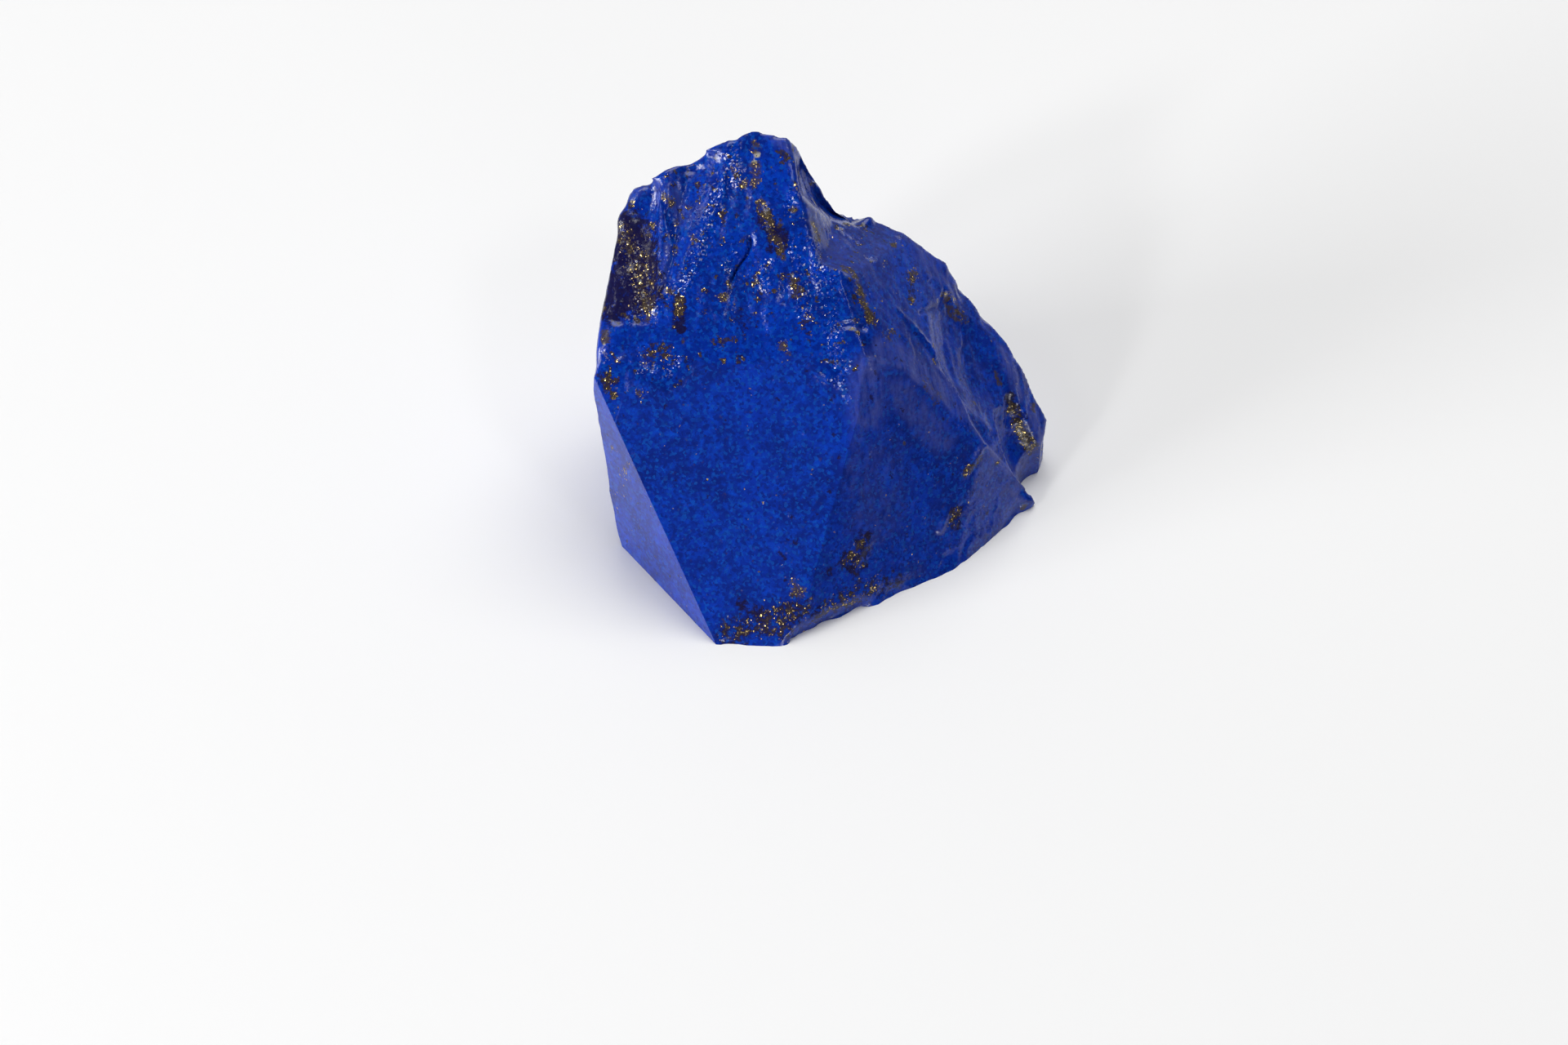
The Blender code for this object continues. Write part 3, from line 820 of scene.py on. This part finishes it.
@dataclass(frozen=True)
class LapisLazuli:
    """Lapis lazuli, sawn and broken: lazurite with pyrite grains, calcite and dark schist.

    The eye sees a deep even blue without white in it, fine brighter and duller grains,
    gold sparks where pyrite lies open, and white sparks where a broken face turns a tiny
    facet to the lamp.
    """

    deep_blue: str = "001B6E"
    blue: Tint = Tint("002A96", 0.35, 0.65)
    bright_blue: Tint = Tint("003CB4", 0.45, 0.75)
    bright_seam: Tint = Tint("003CB4", 0.0, 1.0, 0.6)
    dull_grain: Tint = Tint("001B6E", 0.5, 0.9, 0.8)
    light_grain: Tint = Tint("064AA4", 0.7, 1.0, 0.6)
    # the pale lavender tone of dust, also laid on as painted sheen and highlights
    dust_and_sheen: Tint = Tint("3E4890", 0.3, 0.65)
    speck: Tint = Tint("130C2C", 0.0, 0.05, 0.8)
    # dark stone, and painted shade in the lobe's deep groove
    dark_stone_and_shade: Tint = Tint("130C2C", 0.95, 1.25, 0.92)
    brown_stone: Tint = Tint("3A3028", 1.05, 1.35, 0.85)
    vein_stone: Tint = Tint("3A3028", 0.8, 1.2, 0.85)
    calcite: Tint = Tint("A9A48E", 1.05, 1.6)
    pyrite_gold: str = "B8A068"
    index: float = 1.5
    smooth_sawn_roughness: float = 0.24
    fine_sawn_roughness: float = 0.26
    matte_roughness: float = 0.26
    broken_roughness: float = 0.2
    facet_roughness: float = 0.1
    cloud_mm: float = 7.0
    mottle_mm: float = 1.3
    swirl_mm: float = 0.5
    swirl_reach_mm: float = 0.6
    grain_mm: float = 0.36  # coarser than the real grain of about 0.1 mm, so that it shows
    ragged_mm: float = 0.9
    ragged_limits: Limits = (0.3, 0.7)
    speck_mm: float = 1.6
    speck_level: float = 0.6  # how rare the specks are on the broken faces
    speck_level_on_plain: float = 0.06  # and how much rarer on the others
    strewn_pyrite: float = 0.55  # how rich in pyrite the specks are
    streak_mm: float = 0.8
    streak_stretch: float = 9.0
    pyrite_mm: float = 0.21
    pyrite_odds: Limits = (0.25, 0.95)
    pyrite_step: Limits = (0.0, 0.04)
    pyrite_edge: Limits = (0.62, 0.5)  # from a grain's middle, so the higher limit comes first
    stray_level: float = 0.9985  # how rare the single grains away from the veins are
    stray_limits: Limits = (0.4, 0.6)
    facet_mm: float = 0.26
    facet_spread: float = 2.2  # how far the facets lean apart where they lie open
    broken_spread: float = 0.3  # and elsewhere on the broken faces
    pyrite_spread: float = 0.7
    spark_level: float = 0.993  # how rare the single sparks are
    step_lean: Place = (0.0, 0.0, 0.2)  # the matte faces' fine steps face a little upwards
    facet_lean: Place = (-0.12, 0.0, -0.03)  # the open facets of the broken front face a little left
    bump_strength: float = 0.32
    bump_mm: float = 0.16
    bump_on_sawn: float = 0.03

    def patterns(self, nodes: Nodes) -> Patterns:
        """Add the places, masks and patterns that the steps share."""
        tree = nodes.tree
        place = add(tree, "ShaderNodeTexCoord", {}).outputs["Object"]
        masks = {
            item: add(tree, "ShaderNodeAttribute", {}, attribute_name=item.value).outputs["Fac"]
            for item in (*Mineral, *Surface)
        }
        inputs = {"Vector": place, "Scale": 1.0 / MILLIMETRE / self.swirl_mm, "Detail": 2.0}
        swirl = add(tree, "ShaderNodeTexNoise", inputs).outputs["Color"]
        swirl = nodes.vector("MULTIPLY_ADD", swirl, (self.swirl_reach_mm * MILLIMETRE,) * 3, place)
        return Patterns(
            place,
            swirl,
            masks,
            nodes.noise(place, self.mottle_mm, 4.0, 0.7),
            nodes.ramp(nodes.noise(place, self.ragged_mm, 4.0, 0.75), self.ragged_limits),
            nodes.chances(nodes.cells(swirl, self.grain_mm)),
            nodes.maths("MAXIMUM", masks[Surface.SMOOTH_SAWN], masks[Surface.FINE_SAWN]),
        )

    def blues(self, nodes: Nodes, spots: Patterns) -> Socket:
        """Colour the blue stone: clouds, brighter spots and seams, duller and lighter grains."""
        cloud = nodes.noise(spots.place, self.cloud_mm, 3.0, 0.55)
        tone = nodes.lay(colour(self.deep_blue), cloud, self.blue)
        tone = nodes.lay(tone, spots.mottle, self.bright_blue)
        tone = nodes.lay(tone, spots.masks[Mineral.BRIGHT], self.bright_seam)
        tone = nodes.lay(tone, spots.grain[0], self.dull_grain)
        return nodes.lay(tone, spots.grain[1], self.light_grain)

    def lay_dust_and_sheen(self, nodes: Nodes, spots: Patterns, tone: Socket) -> Socket:
        """Lay the pale dust and the painted sheen on in streaks along the grain of the stone."""
        fibres = Grain(stretch=self.streak_stretch)
        along = Vector(fibres.direction).normalized()
        shift = nodes.maths("MULTIPLY", nodes.dot(spots.place, along), 1.0 / fibres.stretch - 1.0)
        drawn = nodes.vector("ADD", spots.place, nodes.scale(along, shift))
        streak = nodes.noise(drawn, self.streak_mm, 3.0, 0.6)
        share = nodes.maths("MULTIPLY", spots.masks[Mineral.DUST_AND_SHEEN], nodes.share(streak, self.dust_and_sheen))
        return nodes.mix(share, tone, colour(self.dust_and_sheen.code))

    def stained(self, nodes: Nodes, spots: Patterns, tone: Socket) -> tuple[Socket, Socket]:
        """Lay on dark specks and the dark, brown and pale stone, the dark being painted shade as well in
        the lobe's deep groove.

        Args:
            nodes: the material's nodes.
            spots: the shared patterns.
            tone: the colour so far.

        Returns:
            The colour, and how rich in pyrite each place is.
        """
        plain = nodes.maths("MAXIMUM", spots.sawn, spots.masks[Surface.MATTE])
        rarity = nodes.maths("MULTIPLY", plain, self.speck_level_on_plain)
        rarity = nodes.maths("ADD", rarity, self.speck_level)
        specks = nodes.maths("SUBTRACT", nodes.noise(spots.place, self.speck_mm, 3.0, 0.65), rarity)
        tone = nodes.lay(tone, specks, self.speck)
        strewn = nodes.ramp(specks, (self.speck.start, self.speck.full))
        strewn = nodes.maths("MULTIPLY", strewn, nodes.maths("SUBTRACT", 1.0, plain))
        strewn = nodes.maths("MULTIPLY", strewn, self.strewn_pyrite)
        veined = nodes.maths("MAXIMUM", spots.masks[Mineral.PYRITE], strewn)
        for value, tint in (
            (spots.masks[Mineral.DARK], self.dark_stone_and_shade),
            (spots.masks[Mineral.BROWN], self.brown_stone),
            (spots.masks[Mineral.PALE], self.calcite),
            (veined, self.vein_stone),
        ):
            tone = nodes.lay(tone, nodes.maths("ADD", value, spots.ragged), tint)
        return tone, veined

    def gold(self, nodes: Nodes, spots: Patterns, veined: Socket) -> Socket:
        """Say where pyrite shows: grains crowded in the veins and a few single ones elsewhere."""
        nugget = nodes.cells(spots.swirl, self.pyrite_mm)
        chances = nodes.chances(nugget)
        odds = nodes.maths("MULTIPLY", veined, nodes.ramp(spots.ragged, self.pyrite_odds))
        gold = nodes.ramp(nodes.maths("SUBTRACT", odds, chances[2]), self.pyrite_step)
        gold = nodes.maths("MULTIPLY", gold, nodes.ramp(nugget.outputs["Distance"], self.pyrite_edge))
        stray = nodes.maths("GREATER_THAN", chances[0], self.stray_level)
        stray = nodes.maths("MULTIPLY", stray, nodes.ramp(spots.mottle, self.stray_limits))
        return nodes.maths("MAXIMUM", gold, stray)

    def roughness(self, nodes: Nodes, masks: dict[Enum, Socket]) -> Socket:
        """Give each kind of surface its roughness."""
        roughness = grey(self.broken_roughness)
        for kind, value in (
            (Mineral.FACETS, self.facet_roughness),
            (Surface.MATTE, self.matte_roughness),
            (Surface.FINE_SAWN, self.fine_sawn_roughness),
            (Surface.SMOOTH_SAWN, self.smooth_sawn_roughness),
        ):
            roughness = nodes.mix(masks[kind], roughness, grey(value))
        return roughness

    def facing(self, nodes: Nodes, spots: Patterns, gold: Socket) -> Socket:
        """Turn tiny facets, pyrite grains and fine steps each their own way."""
        broken = nodes.maths("SUBTRACT", 1.0, spots.sawn)
        facet = nodes.cells(spots.place, self.facet_mm).outputs["Color"]
        lean = nodes.vector("SUBTRACT", facet, (0.5, 0.5, 0.5))
        spread = nodes.maths("MULTIPLY", spots.masks[Mineral.FACETS], self.facet_spread)
        spread = nodes.maths("ADD", spread, nodes.maths("MULTIPLY", broken, self.broken_spread))
        spread = nodes.maths("ADD", spread, nodes.maths("GREATER_THAN", spots.grain[2], self.spark_level))
        spread = nodes.maths("MULTIPLY", nodes.dot(lean, lean), spread)
        spread = nodes.maths("ADD", spread, nodes.maths("MULTIPLY", gold, self.pyrite_spread))
        lean = nodes.scale(lean, spread)
        lean = nodes.vector("ADD", lean, nodes.scale(self.step_lean, spots.masks[Surface.MATTE]))
        lean = nodes.vector("ADD", lean, nodes.scale(self.facet_lean, spots.masks[Mineral.FACETS]))
        height = nodes.maths("MULTIPLY", spots.mottle, nodes.maths("ADD", broken, self.bump_on_sawn))
        inputs = {"Height": height, "Strength": self.bump_strength, "Distance": self.bump_mm * MILLIMETRE}
        bump = add(nodes.tree, "ShaderNodeBump", inputs).outputs["Normal"]
        return nodes.vector("NORMALIZE", nodes.vector("ADD", bump, lean))

    def material(self) -> bpy.types.Material:
        """Build the stone's material.

        Returns:
            The material, which reads Object coordinates and the mesh's own attributes.
        """
        material = bpy.data.materials.new("lapis_lazuli_sawn_and_broken")
        material.use_nodes = True
        tree = material.node_tree
        tree.nodes.clear()
        nodes = Nodes(tree)
        spots = self.patterns(nodes)
        tone = self.lay_dust_and_sheen(nodes, spots, self.blues(nodes, spots))
        tone, veined = self.stained(nodes, spots, tone)
        gold = self.gold(nodes, spots, veined)
        inputs = {
            "Base Color": nodes.mix(gold, tone, colour(self.pyrite_gold)),
            "Roughness": self.roughness(nodes, spots.masks),
            "Metallic": gold,
            "Normal": self.facing(nodes, spots, gold),
            "IOR": self.index,
        }
        shader = add(tree, "ShaderNodeBsdfPrincipled", inputs)
        add(tree, "ShaderNodeOutputMaterial", {"Surface": shader.outputs["BSDF"]})
        return material


@dataclass
class LapisStone:
    """The stone: one solid, cut from its corners and dressed with relief and minerals."""

    relief: Relief = Relief()
    finish: LapisLazuli = LapisLazuli()
    voxel: float = 0.33
    hollow_lift: float = 1.5
    egg_parting: int = 5
    saw_step: float = 1.2
    saw_weld: float = 0.02  # points this near to a cut are moved onto it
    sawn_reach: float = 0.1  # how near to a cut a point counts as sawn
    matte_blend: float = 2.0  # how wide the change from the front to the matte faces is
    crease: float = 38.0
    first_wear: int = 2
    rim_relief: float = 0.45
    rim_reach: float = 2.4
    rim_wear: int = 45
    plain_skin: float = 0.15  # how much of a plain face's reach has its least relief
    patch_relief: float = 0.8
    patch_fullness: float = 1.6  # above 1, the middle of a patch has its relief evenly
    rim_fullness: float = 1.5

    def convex(self, corners: list[Vector]) -> bmesh.types.BMesh:
        """Span some corners with a convex solid.

        Args:
            corners: places in millimetres.

        Returns:
            The solid as a bmesh with its faces pointing outwards.
        """
        shape = bmesh.new()
        for corner in corners:
            shape.verts.new(corner)
        found = bmesh.ops.convex_hull(shape, input=shape.verts)
        inner = [item for item in found["geom_interior"] if isinstance(item, bmesh.types.BMVert)]
        bmesh.ops.delete(shape, geom=inner, context="VERTS")
        bmesh.ops.recalc_face_normals(shape, faces=shape.faces)
        return shape

    def to_object(self, name: str, shape: bmesh.types.BMesh) -> bpy.types.Object:
        """Turn a bmesh into an object of the scene and free it."""
        mesh = bpy.data.meshes.new(name)
        shape.to_mesh(mesh)
        shape.free()
        made = bpy.data.objects.new(name, mesh)
        bpy.context.scene.collection.objects.link(made)
        return made

    def wedge(self, cut: Break) -> bmesh.types.BMesh:
        """Span the wedge of one break: its bottom edge and both walls carried outwards."""
        start = Vector(cut.start)
        end = Vector(cut.end)
        edge = (end - start).normalized()
        corners = [start, end]
        for wall in (cut.wall_1, cut.wall_2):
            outwards = Vector(wall) - start
            outwards -= edge * outwards.dot(edge)
            outwards.normalize()
            corners += [start + outwards * cut.reach, end + outwards * cut.reach]
        return self.convex(corners)

    def egg(self, hollow: Hollow) -> bmesh.types.BMesh:
        """Shape the egg that cuts one hollow, lifted so that only its shallow end cuts."""
        outward = Vector(hollow.outward).normalized()
        along = Vector(hollow.along)
        along = (along - outward * along.dot(outward)).normalized()
        turn = Matrix((along, outward.cross(along), outward)).transposed().to_4x4()
        lift = self.hollow_lift / (self.hollow_lift + 1.0)
        spread = 1.0 / math.sqrt(1.0 - lift * lift)
        height = hollow.depth * (self.hollow_lift + 1.0)
        size = Matrix.Diagonal((hollow.length * spread, hollow.width * spread, height, 1.0))
        place = Matrix.Translation(Vector(hollow.at) + outward * hollow.depth * self.hollow_lift)
        shape = bmesh.new()
        bmesh.ops.create_icosphere(shape, subdivisions=self.egg_parting, radius=1.0)
        bmesh.ops.transform(shape, matrix=place @ turn @ size, verts=shape.verts)
        return shape

    def rough_body(self) -> bpy.types.Object:
        """Cut the breaks and hollows out of the convex body and lay an even mesh over it.

        Returns:
            The stone in millimetres, without relief.
        """
        corners = [Vector(corner) for corner in CORNERS]
        left = LEFT_SAWN.normal() * LEFT_SAWN.allowance
        front = FRONT_SAWN.normal() * FRONT_SAWN.allowance
        corners += [Vector(corner) + left for corner in LEFT_SAWN.corners]
        corners += [Vector(corner) + front for corner in FRONT_SAWN.corners]
        for corner in set(LEFT_SAWN.corners) & set(FRONT_SAWN.corners):
            corners.append(Vector(corner) + left + front)
        stone = self.to_object("lapis_stone_rough", self.convex(corners))
        shapes = [self.wedge(cut) for cut in BREAKS] + [self.egg(hollow) for hollow in HOLLOWS]
        tools = [self.to_object(f"cutter_{index}", shape) for index, shape in enumerate(shapes)]
        for tool in tools:
            cut = stone.modifiers.new(tool.name, "BOOLEAN")
            cut.operation = "DIFFERENCE"
            cut.solver = "EXACT"
            cut.object = tool
        remesh = stone.modifiers.new("even_mesh", "REMESH")
        remesh.mode = "VOXEL"
        remesh.voxel_size = self.voxel
        graph = bpy.context.evaluated_depsgraph_get()
        mesh = bpy.data.meshes.new_from_object(stone.evaluated_get(graph))
        stone.modifiers.clear()
        stone.data = mesh
        for tool in tools:
            bpy.data.meshes.remove(tool.data)
        return stone

    def saw(self, shape: bmesh.types.BMesh, cut: SawCut) -> None:
        """Saw the stone along a plane, close the cut and part it into an even grid.

        Args:
            shape: the stone.
            cut: the saw cut.
        """
        normal = cut.normal()
        middle = Vector(cut.places[0])
        everything = shape.verts[:] + shape.edges[:] + shape.faces[:]
        bmesh.ops.bisect_plane(
            shape,
            geom=everything,
            dist=self.saw_weld,
            plane_co=middle,
            plane_no=normal,
            clear_outer=True,
        )
        rim = [edge for edge in shape.edges if edge.is_boundary]
        for edge in rim:
            edge.smooth = False
        filled = bmesh.ops.triangle_fill(shape, edges=rim, use_beauty=True, normal=normal)
        faces = [item for item in filled["geom"] if isinstance(item, bmesh.types.BMFace)]
        along = normal.orthogonal().normalized()
        for way in (along, normal.cross(along)):
            reaches = [(vert.co - middle).dot(way) for face in faces for vert in face.verts]
            step = min(reaches) + self.saw_step
            while step < max(reaches):
                edges = {edge for face in faces for edge in face.edges}
                verts = {vert for face in faces for vert in face.verts}
                parted = bmesh.ops.bisect_plane(
                    shape,
                    geom=[*verts, *edges, *faces],
                    dist=self.saw_weld,
                    plane_co=middle + way * step,
                    plane_no=way,
                )
                faces = [item for item in parted["geom"] if isinstance(item, bmesh.types.BMFace)]
                step += self.saw_step

    def share_of_relief(self, points: np.ndarray) -> np.ndarray:
        """Give each point's relief: little on the plain faces, all on the broken ones."""
        share = np.ones(len(points))
        for face in PLAIN_FACES:
            blend = np.clip(face.distance(points) / face.reach - self.plain_skin, 0.0, 1.0)
            share = np.minimum(share, face.relief + (1.0 - face.relief) * blend)
        for patch in ROUGH_PATCHES:
            near = 1.0 - line_distance(points, (patch.at,)) / patch.reach
            share = np.maximum(share, np.clip(near * self.patch_fullness, 0.0, self.patch_relief))
        for edge in CHIPPED_EDGES:
            near = 1.0 - line_distance(points, edge.places) / edge.width
            share = np.maximum(share, np.clip(near * self.patch_fullness, 0.0, 1.0))
        for rim in WORN_RIMS:
            near = smooth(self.rim_fullness * (1.0 - line_distance(points, rim.places) / rim.width))
            share *= 1.0 - (1.0 - self.rim_relief) * near
        return share

    def wear(self, shape: bmesh.types.BMesh, verts: list[bmesh.types.BMVert], times: int) -> None:
        """Wear some points smooth, a few times over."""
        for _ in range(times):
            bmesh.ops.smooth_vert(
                shape, verts=verts, factor=0.5, use_axis_x=True, use_axis_y=True, use_axis_z=True
            )

    def relieve(self, stone: bpy.types.Object) -> None:
        """Move each point along its normal by the relief, then saw the flat faces."""
        shape = bmesh.new()
        shape.from_mesh(stone.data)
        self.wear(shape, shape.verts[:], self.first_wear)
        points = np.array([vert.co for vert in shape.verts])
        near_rim = line_distance(points, LEFT_RIM) < self.rim_reach
        self.wear(shape, [vert for vert, near in zip(shape.verts, near_rim) if near], self.rim_wear)
        shape.normal_update()
        points = np.array([vert.co for vert in shape.verts])
        shares = self.share_of_relief(points)
        extra = np.zeros(len(points))
        for bump in (*BUMPS, *ROUGH_PATCHES):
            extra += bump.height * smooth(1.0 - line_distance(points, (bump.at,)) / bump.reach)
        for scar in (*SCARS, *CHIPPED_EDGES):
            extra += scar.height * smooth(1.0 - line_distance(points, scar.places) / scar.width)
        heights = [self.relief.height(vert.co) for vert in shape.verts]
        normals = [vert.normal.copy() for vert in shape.verts]
        for vert, normal, height, share, more in zip(shape.verts, normals, heights, shares, extra):
            vert.co += normal * (height * share + more) + self.relief.warp(vert.co, normal) * share
        shape.normal_update()
        for edge in shape.edges:
            edge.smooth = edge.calc_face_angle(0.0) < math.radians(self.crease)
        for face in shape.faces:
            face.smooth = True
        for cut in (UNDERSIDE, LEFT_SAWN, FRONT_SAWN):
            self.saw(shape, cut)
        bmesh.ops.triangulate(shape, faces=[face for face in shape.faces if len(face.verts) > 4])
        bmesh.ops.recalc_face_normals(shape, faces=shape.faces)
        shape.to_mesh(stone.data)
        shape.free()

    def mark(self, stone: bpy.types.Object) -> None:
        """Write the minerals, the painted sheen and shade, and the kinds of surface into the mesh as
        attributes.
        """
        mesh = stone.data
        flat = np.empty(len(mesh.vertices) * 3)
        mesh.vertices.foreach_get("co", flat)
        points = flat.reshape(-1, 3)
        shares = {item.value: np.zeros(len(points)) for item in (*Mineral, *Surface)}
        for marking in MARKINGS:
            name = marking.mineral.value
            shares[name] = np.maximum(shares[name], marking.share(points))
        on_left = smooth(1.0 - LEFT_SAWN.distance(points) / self.sawn_reach)
        on_front = smooth(1.0 - FRONT_SAWN.distance(points) / self.sawn_reach)
        shares[Surface.SMOOTH_SAWN.value] = on_left
        shares[Surface.FINE_SAWN.value] = on_front * (1.0 - on_left)
        across = (FRONT_SAWN.normal() - square_to(*RIGHT_FACE.places)).normalized()
        side = (points - np.array(CENTRE_RIDGE_TOP)) @ np.array(across)
        shares[Surface.MATTE.value] = smooth(0.5 - side / self.matte_blend)
        for name, values in shares.items():
            layer = mesh.attributes.new(name, "FLOAT", "POINT")
            layer.data.foreach_set("value", values.astype(np.float32))

    def build(self) -> bpy.types.Object:
        """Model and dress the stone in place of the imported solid.

        Returns:
            The finished stone, at the origin.
        """
        stone = self.rough_body()
        self.relieve(stone)
        self.mark(stone)
        mesh = stone.data
        mesh.transform(Matrix.Scale(MILLIMETRE, 4) @ Matrix.Translation(DATUM_SHIFT))
        mesh.materials.clear()
        mesh.materials.append(self.finish.material())
        stone.name = "lapis_stone_dressed"
        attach(stone, "root")
        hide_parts("lapis_stone")
        return stone


@dataclass(frozen=True)
class Lamp:
    """A soft white studio lamp: the direction it stands in, its size, power and distance."""

    name: str
    direction: Place
    width: float
    height: float
    power: float
    distance: float = 1.2

    def build(self) -> bpy.types.Object:
        """Hang the lamp and turn it to the stone."""
        data = bpy.data.lights.new(self.name, "AREA")
        data.shape = "RECTANGLE"
        data.size = self.width
        data.size_y = self.height
        data.energy = self.power
        lamp = bpy.data.objects.new(self.name, data)
        bpy.context.scene.collection.objects.link(lamp)
        towards = Vector(self.direction).normalized()
        lamp.location = towards * self.distance
        lamp.rotation_mode = "QUATERNION"
        lamp.rotation_quaternion = towards.to_track_quat("Z", "Y")
        return lamp


@dataclass
class Studio:
    """Pale floor, soft lamps, a dim room and the camera."""

    floor_tone: str = "F3F3F3"
    floor_half: float = 2.5
    floor_roughness: float = 0.8
    room_front: float = 0.02
    room_back: float = 0.5
    room_change: Limits = (-0.1, 0.8)  # from the camera's side, 0 being straight above the stone
    lens: float = 126.79
    sensor: float = 36.0
    elevation: float = 47.36
    camera_distance: float = 0.7513
    lamps: tuple[Lamp, ...] = (
        Lamp("overhead_softbox", (0.12, 0.32, 0.94), 1.1, 0.9, 10.6),
        Lamp("left_softbox", (-0.5, -0.3, 0.81), 0.12, 0.12, 0.4),
        Lamp("right_softbox", (0.4, -0.5, 0.77), 0.16, 0.16, 0.9),
        Lamp("left_fill", (-0.9, -0.4, 0.2), 0.5, 0.5, 13.5),
        Lamp("low_front_softbox", (0.28, -0.95, 0.07), 0.3, 0.14, 3.0),
        Lamp("key_lamp", (-0.578, -0.611, 0.541), 0.13, 0.13, 2.3),
    )

    def floor(self) -> bpy.types.Object:
        """Lay the pale floor that the stone stands on."""
        shape = bmesh.new()
        bmesh.ops.create_grid(shape, x_segments=1, y_segments=1, size=self.floor_half)
        mesh = bpy.data.meshes.new("floor")
        shape.to_mesh(mesh)
        shape.free()
        material = bpy.data.materials.new("matte_white_board")
        material.use_nodes = True
        shader = material.node_tree.nodes["Principled BSDF"]
        shader.inputs["Base Color"].default_value = colour(self.floor_tone)
        shader.inputs["Roughness"].default_value = self.floor_roughness
        mesh.materials.append(material)
        floor = bpy.data.objects.new("floor", mesh)
        bpy.context.scene.collection.objects.link(floor)
        return floor

    def room(self) -> None:
        """Light the room dimly: dark on the camera's side and bright behind the stone."""
        world = bpy.data.worlds.new("studio_room")
        bpy.context.scene.world = world
        world.use_nodes = True
        tree = world.node_tree
        tree.nodes.clear()
        way = add(tree, "ShaderNodeTexCoord", {}).outputs["Generated"]
        parts = add(tree, "ShaderNodeSeparateXYZ", {"Vector": way})
        inputs = {
            "Value": parts.outputs["Y"],
            "From Min": self.room_change[0],
            "From Max": self.room_change[1],
            "To Min": self.room_front,
            "To Max": self.room_back,
        }
        share = add(tree, "ShaderNodeMapRange", inputs, interpolation_type="SMOOTHSTEP")
        light = add(tree, "ShaderNodeBackground", {"Strength": share.outputs["Result"]})
        add(tree, "ShaderNodeOutputWorld", {"Surface": light.outputs["Background"]})

    def camera(self) -> bpy.types.Object:
        """Stand the camera where the photograph was taken from."""
        data = bpy.data.cameras.new("camera")
        data.lens = self.lens
        data.sensor_width = self.sensor
        camera = bpy.data.objects.new("camera", data)
        bpy.context.scene.collection.objects.link(camera)
        rise = math.radians(self.elevation)
        back = Vector((0.0, -math.cos(rise), math.sin(rise))) * self.camera_distance
        camera.location = DATUM_SHIFT * MILLIMETRE + back
        camera.rotation_euler = (math.pi / 2.0 - rise, 0.0, 0.0)
        bpy.context.scene.camera = camera
        return camera

    def build(self) -> None:
        """Set up floor, lamps, room and camera."""
        self.floor()
        for lamp in self.lamps:
            lamp.build()
        self.room()
        self.camera()


def main() -> None:
    """Build the stone and the studio in order and report each piece."""
    logging.basicConfig(level=logging.INFO, format="%(name)s: %(message)s")
    bpy.context.scene.view_settings.view_transform = "Standard"
    stone = LapisStone().build()
    log.info("%s: %d faces", stone.name, len(stone.data.polygons))
    Studio().build()
    log.info("studio: floor, lamps and camera")


if __name__ == "__main__":
    main()
